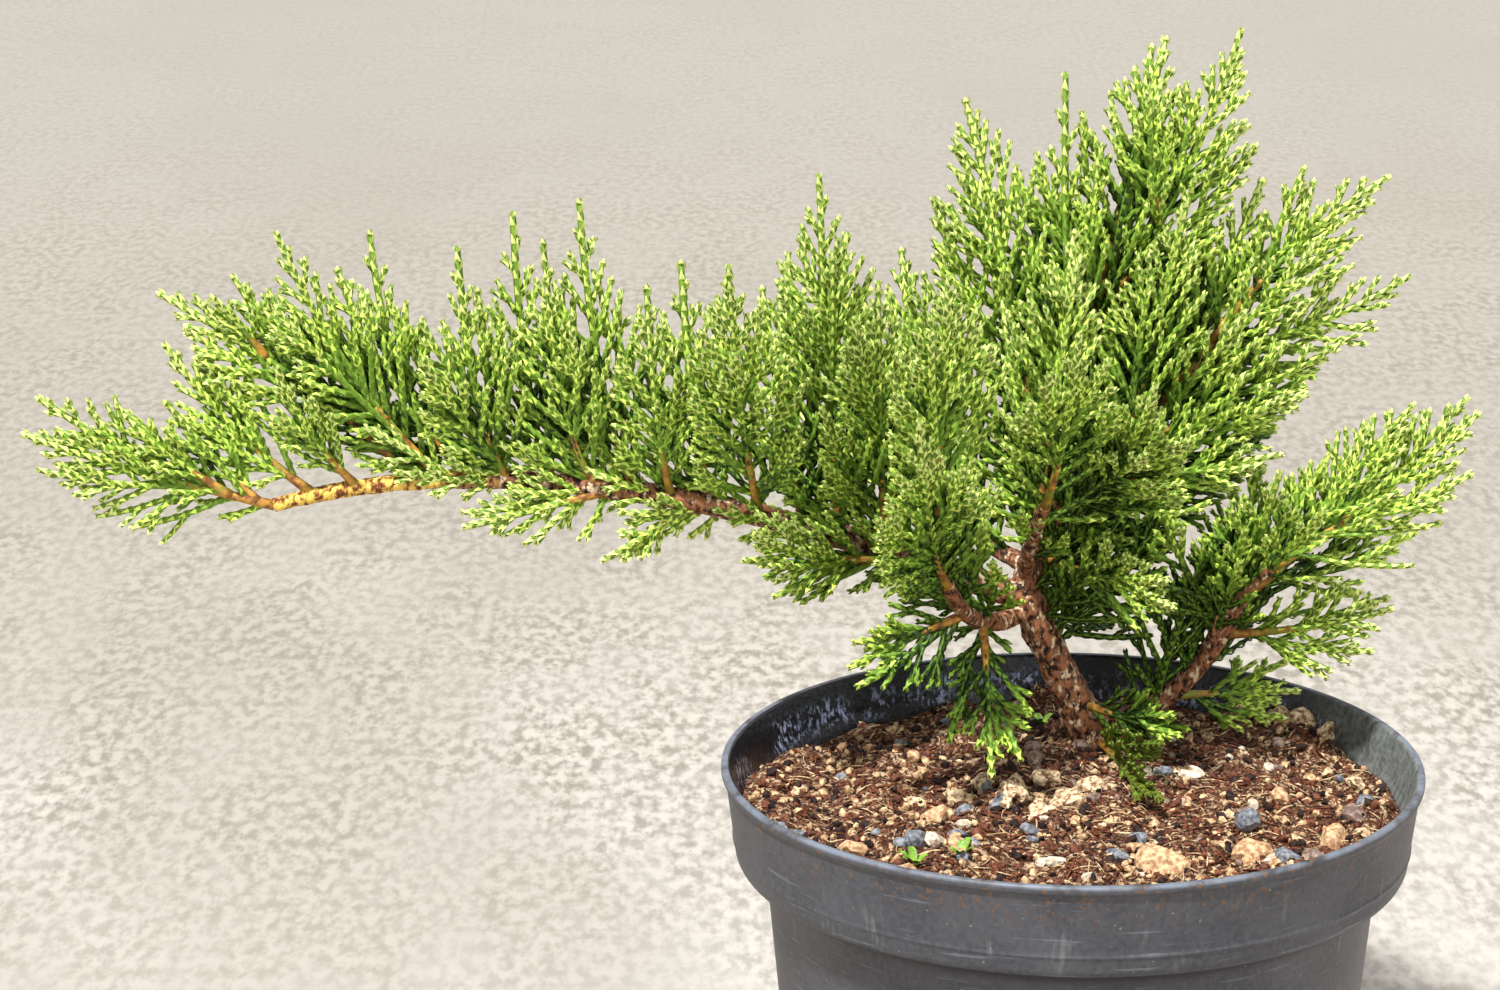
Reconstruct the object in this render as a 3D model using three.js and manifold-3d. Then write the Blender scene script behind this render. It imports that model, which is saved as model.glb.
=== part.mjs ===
// A young spreading juniper in a round plastic nursery pot, with one long bough that reaches out to the left.
// Millimetres, +Z up. The origin is the middle of the pot's flat underside, and -Y faces the viewer.
// The pot, the soil, the trunk, each bough and each spray of foliage is one closed solid. A spray is a stem
// with side twigs and shoots fused on, and it keeps to the space that is nearest to its own stem.
import * as THREE from "three";
import { mergeVertices } from "three/addons/utils/BufferGeometryUtils.js";
import Module from "manifold-3d";

const wasm = await Module();
wasm.setup();

const CLEARANCE = 0.3;
const ROUND_SIDES = 36;

// The pot: a tapered body, a deeper band under the rim that stands out from it, and a thin lip.
const POT = {
  height: 130,
  rimRadius: 85,
  lipHeight: 2.6,
  bandDepth: 22.7,
  bandTopRadius: 84,
  bandFootRadius: 81.6,
  bodyTopRadius: 74.5,
  footRadius: 64.5,
  wall: 1.6,
  floor: 2.4,
  edge: 1,
  drainHoles: 8,
  drainHoleRadius: 4.5,
  drainCircleRadius: 46,
};

// The soil's surface: its level, and the mounds and hollows on it. The trunk stands on a small flat seat.
const SOIL = {
  level: 118.5,
  edgeFall: 1,
  rings: [0.92, 0.76, 0.6, 0.42, 0.24],
  mounds: [
    { x: 8, y: 28, rise: 4, spread: 26 },
    { x: 57, y: 47, rise: 4.5, spread: 9 },
    { x: -70, y: 4, rise: 2.5, spread: 16 },
    { x: -52, y: 56, rise: -2, spread: 18 },
    { x: 40, y: -48, rise: 2.5, spread: 20 },
    { x: -30, y: -30, rise: 1.5, spread: 18 },
  ],
};
const SEAT = { x: 10, y: 34, z: 121.6, radius: 9.5, depth: 20, sides: 16 };

// Clods and stones that stand out of the soil: rings of them about 21 mm apart, each on a corner of the
// soil's own rings. every says how many corners it is from one clod to the next.
const CLODS = {
  rings: [
    { share: 0.92, every: 2, first: 1 },
    { share: 0.6, every: 3, first: 0 },
    { share: 0.24, every: 6, first: 2 },
  ],
  rise: [2.6, 5.2],
  spread: 4.6,
  fromStems: 9,
};

// Limbs. A limb leaves another at a share of that one's length. to says how far its end stands to the right
// of its root, behind it and above it. bend is how far the curve's pull point stands off the middle of the
// straight line. radius is at its root and at its tip.
const TRUNK = {
  name: "trunk",
  to: [-20, -6, 42.5],
  bend: [-2, 0, 1],
  radius: [4.1, 4.4],
  flare: 3.4,
  flareHeight: 6,
};
const BOUGHS = [
  { name: "top", from: "trunk", at: 1, to: [19, 12, 77], bend: [0, 4, 0], radius: [3.2, 1.6] },
  { name: "left", from: "trunk", at: 0.95, to: [-184, -10, 28], bend: [-21, -7, 35], radius: [3.4, 1.7] },
  { name: "front_left", from: "trunk", at: 0.9, to: [-26, -42, 33], bend: [-8, -4, -22], radius: [2.5, 1.5] },
  { name: "front_right", from: "top", at: 0.05, to: [2, -25, 25], bend: [-3, 0, -3], radius: [2.2, 1.5] },
  { name: "right_top", from: "top", at: 0.14, to: [43, 7, 50], bend: [3, 0, -5], radius: [2.4, 1.4] },
  { name: "right", from: "trunk", at: 0.1, to: [36, -8, 37], bend: [7, 0, -11], radius: [3, 1.8] },
  { name: "right_fork", from: "right", at: 0.72, to: [13, -14, 26], bend: [-5, -2, 4], radius: [1.9, 1.3] },
  { name: "back_left", from: "top", at: 0.08, to: [-34, 36, 26], bend: [-3, 5, -10], radius: [2.2, 1.3] },
  { name: "back_right", from: "top", at: 0.2, to: [24, 36, 26], bend: [2, 6, -10], radius: [2.2, 1.3] },
];

// Sprays. Each leaves its limb at a share of the limb's length, and to says where its tip stands from its
// root. A stem with a positive arch starts outwards and then turns up, and with a negative one it does the
// reverse. width is the length of its longest side twig. forks are lesser stems that leave the main one.
const SPRAYS = [
  {
    name: "left_tip", on: "left", at: 1, to: [-60, -2, 19], arch: 0.06, width: 19,
    forks: [
      { at: 0.06, to: [-22, 5, 24], width: 9 },
      { at: 0.16, to: [-24, -6, 22], width: 10 },
    ],
  },
  { name: "left_outer_low", on: "left", at: 0.93, to: [-36, 5, 37], arch: 0.1, width: 17 },
  { name: "left_outer_fill", on: "left", at: 0.86, to: [-18, -10, 33], arch: 0.12, width: 15 },
  {
    name: "left_outer_long", on: "left", at: 0.77, to: [-62, 6, 46], arch: -0.08, width: 17,
    forks: [
      { at: 0.4, to: [-14, 5, 22], width: 9 },
      { at: 0.62, to: [-12, -5, 16], width: 8 },
    ],
  },
  {
    name: "left_outer_spire", on: "left", at: 0.73, to: [-38, -6, 63], arch: 0.12, width: 16,
    forks: [
      { at: 0.3, to: [-8, 5, 24], width: 9 },
    ],
  },
  { name: "left_spire_1", on: "left", at: 0.675, to: [-26, 6, 61], arch: 0.35, width: 17 },
  { name: "left_spire_2", on: "left", at: 0.635, to: [-11, -8, 60], arch: 0.3, width: 16 },
  { name: "left_spire_3", on: "left", at: 0.575, to: [-9, 7, 66], arch: 0.3, width: 18 },
  { name: "left_spire_4", on: "left", at: 0.515, to: [-12, -9, 64], arch: 0.3, width: 16 },
  { name: "left_spire_5", on: "left", at: 0.465, to: [-13, 5, 72], arch: 0.25, width: 18 },
  { name: "left_spire_6", on: "left", at: 0.42, to: [-5, -16, 57], arch: 0.2, width: 16 },
  { name: "left_spire_7", on: "left", at: 0.37, to: [-7, 7, 60], arch: 0.2, width: 17 },
  { name: "left_front_spire", on: "left", at: 0.31, to: [-7, -37, 71], arch: 0.15, width: 22 },
  { name: "left_spire_8", on: "left", at: 0.26, to: [-3, 12, 66], arch: 0.1, width: 19 },
  { name: "left_spire_9", on: "left", at: 0.215, to: [-5, -8, 92], arch: 0.1, width: 20 },
  { name: "left_inner_front", on: "left", at: 0.16, to: [-3, -27, 74], arch: 0.15, width: 19 },
  { name: "left_under_long", on: "left", at: 0.49, to: [-37, -12, -6], arch: 0, width: 12 },
  { name: "left_under_short", on: "left", at: 0.4, to: [-21, -8, -13], arch: -0.1, width: 9 },
  { name: "left_low_front", on: "left", at: 0.13, to: [-39, -31, 16], arch: 0.2, width: 14 },
  { name: "front_left", on: "front_left", at: 1, to: [2, -20, 65], arch: 0.05, width: 24 },
  { name: "front_left_low", on: "front_left", at: 0.72, to: [-9, -44, 53], arch: 0.2, width: 20 },
  { name: "front_left_side", on: "front_left", at: 0.5, to: [-29, -14, -9], arch: 0.05, width: 14 },
  { name: "front_left_hanging", on: "front_left", at: 0.35, to: [1, -26, -31], arch: 0.1, width: 12 },
  { name: "front_right", on: "front_right", at: 1, to: [5, -31, 50], arch: 0.15, width: 21 },
  { name: "centre_front", on: "front_right", at: 0.8, to: [8, 2, 72], arch: 0, width: 20 },
  { name: "top_left_spire", on: "top", at: 0.3, to: [-21, 2, 99], arch: -0.05, width: 21 },
  { name: "top_middle_spire", on: "top", at: 0.75, to: [-5.5, -2, 71], arch: 0.5, width: 18 },
  { name: "top_spire", on: "top", at: 1, to: [15, 7, 58], arch: 0, width: 17 },
  {
    name: "top_right_plume", on: "top", at: 0.82, to: [35, -6, 76], arch: 0.12, width: 18,
    forks: [
      { at: 0.42, to: [-4, -4, 34], width: 11 },
    ],
  },
  { name: "right_top_front", on: "right_top", at: 0.45, to: [14, -9, 69], arch: 0.05, width: 19 },
  { name: "right_top_spire", on: "right_top", at: 0.64, to: [26, 4, 61], arch: 0.05, width: 18 },
  { name: "right_top_plume", on: "right_top", at: 1, to: [42, -3, 42], arch: -0.1, width: 18 },
  { name: "right_outer", on: "right_top", at: 0.6, to: [38, -12, 13], arch: 0.05, width: 16 },
  { name: "right_outer_low", on: "right_top", at: 0.34, to: [43, -15, 12], arch: 0, width: 14 },
  { name: "centre_middle", on: "top", at: 0.24, to: [22, -51, 46], arch: 0.2, width: 22 },
  { name: "centre_low", on: "top", at: 0.12, to: [31, -39, -2], arch: 0.1, width: 18 },
  { name: "right_plume", on: "right_fork", at: 1, to: [48, -4, 40], arch: 0.05, width: 18 },
  { name: "right_plume_back", on: "right", at: 1, to: [41, 6, 43], arch: 0.1, width: 17 },
  { name: "right_low", on: "right", at: 0.82, to: [40, -11, 10], arch: 0.15, width: 14 },
  { name: "right_rim", on: "right", at: 0.42, to: [34, 6, -1], arch: 0.05, width: 11 },
  { name: "foot_sprig", on: "trunk", at: 0.28, to: [24, -24, -1], arch: 0, width: 13 },
  { name: "fallen_sprig", on: "trunk", at: 0.06, to: [12, -50, 1], arch: 0, width: 9 },
  { name: "back_left", on: "back_left", at: 1, to: [-22, 22, 46], arch: 0.2, width: 22 },
  { name: "back_left_upper", on: "back_left", at: 0.6, to: [2, 10, 68], arch: 0.1, width: 22 },
  { name: "back_right", on: "back_right", at: 1, to: [22, 20, 42], arch: 0.2, width: 22 },
  { name: "back_right_upper", on: "back_right", at: 0.7, to: [-4, 12, 60], arch: 0.1, width: 22 },
  { name: "back_right_low", on: "back_right", at: 0.6, to: [38, 12, 12], arch: 0.15, width: 18 },
];

// How a spray grows. Twigs leave the stem round and round by the golden angle, and shoots leave each twig
// in the same way.
const GROWTH = {
  stemRadius: [1.9, 1.1],
  forkRadius: [1.4, 1.1],
  stemShares: [0, 0.2, 0.4, 0.6, 0.8],
  twigStep: 8.9,
  twigFirst: 0.1,
  twigLast: 0.94,
  twigAngle: [52, 26],
  twig: { radius: 1.6, shortest: 5 },
  shootSpacing: 9,
  shootShare: 0.52,
  shootAngle: 40,
  shoot: { radius: 1.4, shortest: 4 },
  neck: 4,
  longTwig: 13,
  turnIn: 0.5,
  turnUp: 0.18,
  jitter: 0.3,
  goldenAngle: 137.5,
};
const STEM_SAMPLES = 24;
const LIMB_SAMPLES = 40;
const LIMB_SIDES = 6;
const LIMB_STEP = 12;
const STEM_SIDES = 4;
const TWIG_SIDES = 3;

const UP = new THREE.Vector3(0, 0, 1);
const COLOURS = {
  pot: { color: 0x3a3b3d, roughness: 0.55 },
  soil: { color: 0x5d4330, roughness: 1 },
  bark: { color: 0x7a5238, roughness: 0.9 },
  foliage: { color: 0x6f9a34, roughness: 0.8 },
};
const plainMaterial = (name) => new THREE.MeshStandardMaterial({ name, metalness: 0, ...COLOURS[name] });
const materials = Object.fromEntries(Object.keys(COLOURS).map((name) => [name, plainMaterial(name)]));

const mix = (a, b, t) => a + (b - a) * t;
const radians = THREE.MathUtils.degToRad;

// A stream of numbers from 0 to 1, the same one each time for the same seed.
function seededRandom(seed) {
  let state = seed >>> 0;
  return () => {
    state = (state + 0x6d2b79f5) >>> 0;
    let t = Math.imul(state ^ (state >>> 15), state | 1);
    t = (t + Math.imul(t ^ (t >>> 7), t | 61)) ^ t;
    return ((t ^ (t >>> 14)) >>> 0) / 4294967296;
  };
}

// A closed three.js geometry as a solid.
function solidOf(geometry) {
  const bare = geometry.clone();
  bare.deleteAttribute("normal");
  bare.deleteAttribute("uv");
  const merged = mergeVertices(bare, 1e-4);
  const index = merged.index.array;
  const kept = [];
  for (let i = 0; i < index.length; i += 3) {
    const [a, b, c] = [index[i], index[i + 1], index[i + 2]];
    if (a !== b && b !== c && c !== a) kept.push(a, b, c);
  }
  const vertProperties = new Float32Array(merged.attributes.position.array);
  return new wasm.Manifold(new wasm.Mesh({ numProp: 3, vertProperties, triVerts: new Uint32Array(kept) }));
}

// A solid as a named mesh.
function meshOf(name, solid, material) {
  const { numProp, numVert, vertProperties, triVerts } = solid.getMesh();
  const position = new Float32Array(numVert * 3);
  for (let i = 0; i < numVert; i++) {
    position.set(vertProperties.subarray(i * numProp, i * numProp + 3), i * 3);
  }
  const geometry = new THREE.BufferGeometry();
  geometry.setAttribute("position", new THREE.BufferAttribute(position, 3));
  geometry.setIndex(new THREE.BufferAttribute(new Uint32Array(triVerts), 1));
  geometry.computeVertexNormals();
  const mesh = new THREE.Mesh(geometry, material);
  mesh.name = name;
  return mesh;
}

// The largest piece of a solid: cutting can leave loose scraps.
function largestPiece(solid) {
  return solid.decompose().reduce((best, piece) => (piece.volume() > best.volume() ? piece : best));
}

// A ring of material turned about the Z axis from a profile of [radius, height] points.
function turned(profile, sides = ROUND_SIDES) {
  const outline = profile.map(([radius, height]) => new THREE.Vector2(radius, height));
  return new THREE.LatheGeometry(outline, sides).rotateX(Math.PI / 2);
}

// A rod turned as a lathe shape and bent along a curve. rings lists its radius, each with the share of the
// curve where it has it. Where the first or last ring stands in from the curve's end, the rod comes to a
// point there.
function bentRod(curve, rings, sides) {
  const profile = [[0, 0], ...rings, [0, 1]].map(([radius, share]) => new THREE.Vector2(radius, share));
  const rod = new THREE.LatheGeometry(profile, sides);
  const first = crossways(curve.getTangent(0));
  const position = rod.attributes.position;
  const point = new THREE.Vector3();
  for (let i = 0; i < position.count; i++) {
    const share = position.getY(i);
    const along = curve.getTangent(share);
    const side = first.clone().addScaledVector(along, -first.dot(along)).normalize();
    const other = along.clone().cross(side);
    point.copy(curve.getPoint(share));
    point.addScaledVector(side, -position.getX(i)).addScaledVector(other, position.getZ(i));
    position.setXYZ(i, point.x, point.y, point.z);
  }
  return solidOf(rod);
}

// A unit vector square to the given one.
function crossways(along) {
  const helper = Math.abs(along.z) > 0.9 ? new THREE.Vector3(1, 0, 0) : UP;
  return new THREE.Vector3().crossVectors(along, helper).normalize();
}

// An upright cylinder about a middle point.
function uprightCylinder(radius, height, sides, x, y, z) {
  const cylinder = new THREE.CylinderGeometry(radius, radius, height, sides);
  return solidOf(cylinder.rotateX(Math.PI / 2).translate(x, y, z));
}

// The pot's inside radius at a height.
function insideRadius(z) {
  const bandFoot = POT.height - POT.bandDepth;
  const steps = [
    [POT.floor, POT.footRadius - POT.wall],
    [bandFoot - 2, POT.bodyTopRadius - POT.wall],
    [bandFoot + 7, POT.bandFootRadius - 3.4],
    [bandFoot + 13, POT.bandFootRadius - POT.wall + 0.8],
    [POT.height, POT.bandTopRadius - POT.wall + 0.6],
  ];
  const above = steps.findIndex(([height]) => height >= z);
  const [low, high] = [steps[Math.max(above, 1) - 1], steps[Math.max(above, 1)]];
  return mix(low[1], high[1], (z - low[0]) / (high[0] - low[0]));
}

function makePot() {
  const { height, edge } = POT;
  const bandFoot = height - POT.bandDepth;
  const outside = [
    [0, 0],
    [POT.footRadius - edge, 0],
    [POT.footRadius, edge],
    [POT.bodyTopRadius, bandFoot - edge],
    [POT.bandFootRadius - edge, bandFoot - edge],
    [POT.bandFootRadius, bandFoot],
    [POT.bandTopRadius, height - POT.lipHeight],
    [POT.rimRadius, height - POT.lipHeight + edge],
    [POT.rimRadius, height - edge / 2],
    [POT.rimRadius - edge / 2, height],
  ];
  const insideHeights = [height, bandFoot + 13, bandFoot + 7, bandFoot - 2, POT.floor];
  const inside = insideHeights.map((z) => [insideRadius(z), z]);
  let pot = solidOf(turned([...outside, ...inside, [0, POT.floor]]));
  for (let i = 0; i < POT.drainHoles; i++) {
    const angle = (2 * Math.PI * (i + 0.5)) / POT.drainHoles;
    const [x, y] = [POT.drainCircleRadius * Math.cos(angle), POT.drainCircleRadius * Math.sin(angle)];
    pot = pot.subtract(uprightCylinder(POT.drainHoleRadius, POT.floor * 3, 8, x, y, 0));
  }
  return pot;
}

// The height of the soil's surface at a place, with the mounds that are given.
function soilHeight(x, y, mounds) {
  const fromMiddle = Math.hypot(x, y) / POT.rimRadius;
  const raised = mounds.reduce(
    (sum, m) => sum + m.rise * Math.exp(-((x - m.x) ** 2 + (y - m.y) ** 2) / (2 * m.spread ** 2)),
    0,
  );
  return SOIL.level - SOIL.edgeFall * fromMiddle ** 4 + raised;
}

// The clods as small mounds. One is left out where it would lift the soil to a stem or the trunk's seat.
function planClods({ limbs, sprays }) {
  const random = seededRandom(500);
  const edge = insideRadius(SOIL.level) - CLEARANCE;
  const stems = [...limbs, ...sprays].flatMap((stem) => stem.samples);
  const found = [];
  for (const ring of CLODS.rings) {
    for (let corner = ring.first; corner < ROUND_SIDES; corner += ring.every) {
      const angle = (2 * Math.PI * corner) / ROUND_SIDES;
      const [x, y] = [edge * ring.share * Math.cos(angle), edge * ring.share * Math.sin(angle)];
      const rise = mix(...CLODS.rise, random());
      const top = new THREE.Vector3(x, y, soilHeight(x, y, SOIL.mounds) + rise);
      const nearSeat = Math.hypot(x - SEAT.x, y - SEAT.y) < SEAT.radius + 2 * CLODS.spread;
      if (nearSeat || nearest(top, stems) < CLODS.fromStems) continue;
      found.push({ x, y, rise, spread: CLODS.spread });
    }
  }
  return found;
}

function makeSoil(mounds) {
  const bottom = POT.floor + CLEARANCE;
  const shoulder = POT.height - POT.bandDepth - 2;
  const edgeRadius = insideRadius(SOIL.level) - CLEARANCE;
  const profile = [
    [0, bottom],
    [insideRadius(bottom) - CLEARANCE, bottom],
    [insideRadius(shoulder) - CLEARANCE, shoulder],
    [insideRadius(shoulder + 6) - CLEARANCE, shoulder + 6],
    [edgeRadius, SOIL.level],
    ...SOIL.rings.map((share) => [edgeRadius * share, SOIL.level]),
    [0, SOIL.level],
  ];
  const heap = turned(profile);
  const position = heap.attributes.position;
  for (let i = 0; i < position.count; i++) {
    if (position.getZ(i) < SOIL.level - CLEARANCE) continue;
    const [x, y] = [position.getX(i), position.getY(i)];
    const z = soilHeight(x, y, mounds);
    const radius = Math.hypot(x, y);
    const share = radius > edgeRadius - CLEARANCE ? (insideRadius(z) - CLEARANCE) / radius : 1;
    position.setXYZ(i, x * share, y * share, z);
  }
  const { x, y, z, radius, sides, depth } = SEAT;
  return solidOf(heap).subtract(uprightCylinder(radius, depth, sides, x, y, z + depth / 2));
}

// The curve from a root to the point that stands off it by to, pulled off its straight line by bend.
function bowedCurve(root, to, bend) {
  const end = root.clone().add(new THREE.Vector3(...to));
  const pull = root.clone().add(end).multiplyScalar(0.5).add(new THREE.Vector3(...bend));
  return new THREE.QuadraticBezierCurve3(root, pull, end);
}

// A limb's curve and its radius along it.
function planLimb(size, root) {
  const curve = bowedCurve(root, size.to, size.bend);
  const length = curve.getLength();
  const [thick, thin] = size.radius;
  const radiusAt = (t) => {
    const flare = size.flare ? size.flare * Math.exp((-t * length) / size.flareHeight) : 0;
    return mix(thick, thin, t) + flare;
  };
  return { ...size, curve, length, radiusAt };
}

// A limb's solid, swollen by some clearance all round and past both ends.
function limbSolid(limb, swell = 0) {
  const steps = Math.max(3, Math.round(limb.length / LIMB_STEP));
  const shares = Array.from({ length: steps + 1 }, (_, i) => i / steps);
  const rod = bentRod(limb.curve, shares.map((t) => [limb.radiusAt(t) + swell, t]), LIMB_SIDES);
  if (!swell) return rod;
  const covers = [0, 1].map((share) => {
    const end = limb.curve.getPoint(share);
    const past = limb.curve.getTangent(share).multiplyScalar(swell);
    const radius = (limb.radiusAt(share) + swell) / Math.cos(Math.PI / LIMB_SIDES);
    const line = new THREE.LineCurve3(end.clone().sub(past), end.clone().add(past));
    return bentRod(line, [[radius, 0], [radius, 1]], LIMB_SIDES);
  });
  return covers.reduce((sum, cover) => sum.add(cover), rod);
}

// A spray's stems: the main one and its forks. Each starts outwards and turns up by the spray's arch.
function planSpray(size, index, limbs) {
  const stemFrom = (root, { to: [lean, reach, rise], width }, radius) => {
    const bend = [size.arch * lean, size.arch * reach, -size.arch * rise];
    const curve = bowedCurve(root, [lean, reach, rise], bend);
    return { curve, width, radius, length: curve.getLength() };
  };
  const main = stemFrom(limbs.get(size.on).curve.getPoint(size.at), size, GROWTH.stemRadius);
  const forkFrom = (fork) => stemFrom(main.curve.getPoint(fork.at), fork, GROWTH.forkRadius);
  const stems = [main, ...(size.forks ?? []).map(forkFrom)];
  return { ...size, index, stems, samples: stems.flatMap(({ curve }) => curve.getPoints(STEM_SAMPLES)) };
}

const nearest = (point, samples) => Math.sqrt(Math.min(...samples.map((s) => s.distanceToSquared(point))));

// Says whether a ball of foliage at a point is in the spray's own space, and clear of limbs, soil and pot.
function isFree(point, radius, spray, plan) {
  const own = nearest(point, spray.samples) + 2 * (radius + CLEARANCE);
  if (plan.sprays.some((other) => other !== spray && nearest(point, other.samples) < own)) return false;
  const reach = radius + 3 * CLEARANCE;
  const touches = (limb) =>
    limb.samples.some((sample, i) => sample.distanceTo(point) < limb.radiusAt(i / LIMB_SAMPLES) + reach);
  if (plan.limbs.some(touches)) return false;
  if (point.z < soilHeight(point.x, point.y, plan.mounds) + reach) return false;
  const wall = insideRadius(Math.min(point.z, POT.height)) - reach;
  return point.z > POT.height + reach || Math.hypot(point.x, point.y) < wall;
}

// One side twig or shoot that leaves a parent curve at a share of its length, and turns in towards the
// parent's own way and up. It is cut back to the part that is free, and is null where too little is left.
function planTwig(parent, share, angle, turn, length, { radius, shortest }, spray, plan) {
  const along = parent.getTangent(share);
  const across = crossways(along).applyAxisAngle(along, turn);
  const start = parent.getPoint(share);
  const out = along.clone().multiplyScalar(Math.cos(angle)).addScaledVector(across, Math.sin(angle));
  const later = out.clone().addScaledVector(along, GROWTH.turnIn).addScaledVector(UP, GROWTH.turnUp);
  const pull = start.clone().addScaledVector(out, length / 2);
  const end = pull.clone().addScaledVector(later.normalize(), length / 2);
  const full = new THREE.QuadraticBezierCurve3(start, pull, end);
  const marks = [0.3, 0.45, 0.6, 0.8, 1];
  const blocked = marks.findIndex((t) => !isFree(full.getPoint(t), radius, spray, plan));
  const free = blocked < 0 ? 1 : blocked === 0 ? 0 : marks[blocked - 1];
  if (length * free < shortest) return null;
  const curve = new THREE.QuadraticBezierCurve3(start, start.clone().lerp(pull, free), full.getPoint(free));
  return { curve, radius, length: curve.getLength() };
}

// The longest side twig at a share of the stem: wide low down, and narrow towards the tip.
const outlineAt = (share) => Math.min(1, share / 0.25) ** 0.6 * (1 - share) ** 0.75 * 1.2 + 0.14;

// All the twigs and shoots of a spray.
function planTwigs(spray, plan) {
  const random = seededRandom(1000 + spray.index);
  const jitter = () => 1 + GROWTH.jitter * (random() - 0.5) * 2;
  const golden = radians(GROWTH.goldenAngle);
  const found = [];
  for (const stem of spray.stems) {
    const span = stem.length * (GROWTH.twigLast - GROWTH.twigFirst);
    const count = Math.max(3, Math.round(span / GROWTH.twigStep));
    let turn = random() * 2 * Math.PI;
    for (let i = 0; i < count; i++) {
      const share = mix(GROWTH.twigFirst, GROWTH.twigLast, (i + 0.5 * random()) / count);
      const angle = radians(mix(...GROWTH.twigAngle, share)) * jitter();
      const length = stem.width * outlineAt(share) * jitter();
      turn += golden;
      const twig = planTwig(stem.curve, share, angle, turn, length, GROWTH.twig, spray, plan);
      if (!twig) continue;
      found.push(twig);
      const shootCount = Math.floor(twig.length / GROWTH.shootSpacing);
      let shootTurn = random() * 2 * Math.PI;
      for (let j = 0; j < shootCount; j++) {
        const place = mix(0.2, 0.85, (j + 0.5) / shootCount);
        const wanted = twig.length * GROWTH.shootShare * (1.15 - place) * jitter();
        const shootLength = Math.max(GROWTH.shoot.shortest, wanted);
        shootTurn += golden;
        const shootAngle = radians(GROWTH.shootAngle);
        const shootPlan = [place, shootAngle, shootTurn, shootLength, GROWTH.shoot];
        const shoot = planTwig(twig.curve, ...shootPlan, spray, plan);
        if (shoot) found.push(shoot);
      }
    }
  }
  return found;
}

// A twig's solid: a slim spindle that comes to a point inside its parent and at its own tip.
function spindle({ curve, radius, length }) {
  const neck = Math.min(GROWTH.neck / length, 0.4);
  const rings = length > GROWTH.longTwig ? [[radius, neck], [radius * 0.9, 0.6]] : [[radius, neck]];
  return bentRod(curve, rings, TWIG_SIDES);
}

// A spray's solid: its stem with every twig and shoot fused on, cut clear of the limb it grows from.
function spraySolid(spray, plan, swollenLimbs) {
  const stems = spray.stems.map(({ curve, radius }) =>
    bentRod(curve, GROWTH.stemShares.map((t) => [mix(...radius, t), t]), STEM_SIDES),
  );
  const twigs = planTwigs(spray, plan).map(spindle);
  const fused = [...stems, ...twigs].reduce((sum, piece) => sum.add(piece));
  return largestPiece(fused.subtract(swollenLimbs.get(spray.on)));
}

const limbs = new Map();
const trunk = planLimb(TRUNK, new THREE.Vector3(SEAT.x, SEAT.y, SEAT.z));
limbs.set(TRUNK.name, trunk);
for (const size of BOUGHS) {
  limbs.set(size.name, planLimb(size, limbs.get(size.from).curve.getPoint(size.at)));
}
for (const limb of limbs.values()) limb.samples = limb.curve.getPoints(LIMB_SAMPLES);
const sprays = SPRAYS.map((size, index) => planSpray(size, index, limbs));
const plan = { limbs: [...limbs.values()], sprays };
plan.mounds = [...SOIL.mounds, ...planClods(plan)];

const swollenLimbs = new Map(plan.limbs.map((limb) => [limb.name, limbSolid(limb, CLEARANCE)]));

const potted = new THREE.Group();
potted.add(meshOf("pot", makePot(), materials.pot));
potted.add(meshOf("soil", makeSoil(plan.mounds), materials.soil));

// Each limb is cut clear of every limb before it, so that boughs that leave one fork meet side by side.
const before = [];
for (const limb of plan.limbs) {
  const cut = before.reduce((solid, name) => solid.subtract(swollenLimbs.get(name)), limbSolid(limb));
  const grounded = cut.trimByPlane([0, 0, 1], SEAT.z + CLEARANCE);
  const nodeName = limb === trunk ? "trunk" : "bough_" + limb.name;
  potted.add(meshOf(nodeName, largestPiece(grounded), materials.bark));
  before.push(limb.name);
}
for (const spray of sprays) {
  potted.add(meshOf("spray_" + spray.name, spraySolid(spray, plan, swollenLimbs), materials.foliage));
}

export default potted;
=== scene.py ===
"""A young spreading juniper in a round plastic nursery pot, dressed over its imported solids.

Lengths here are millimetres, as in the part's source, and become metres where a mesh is made.
+Z is up, the origin is the middle of the pot's flat underside, and -Y faces the viewer.
The boughs, the sprays' stems and the rule by which twigs grow are those of the source, carried
on to finer shoots that are covered with scale leaves.
"""
import math
from typing import NamedTuple

import bmesh
import bpy
import numpy as np
from mathutils import Matrix, Vector
from mathutils.geometry import delaunay_2d_cdt


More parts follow.
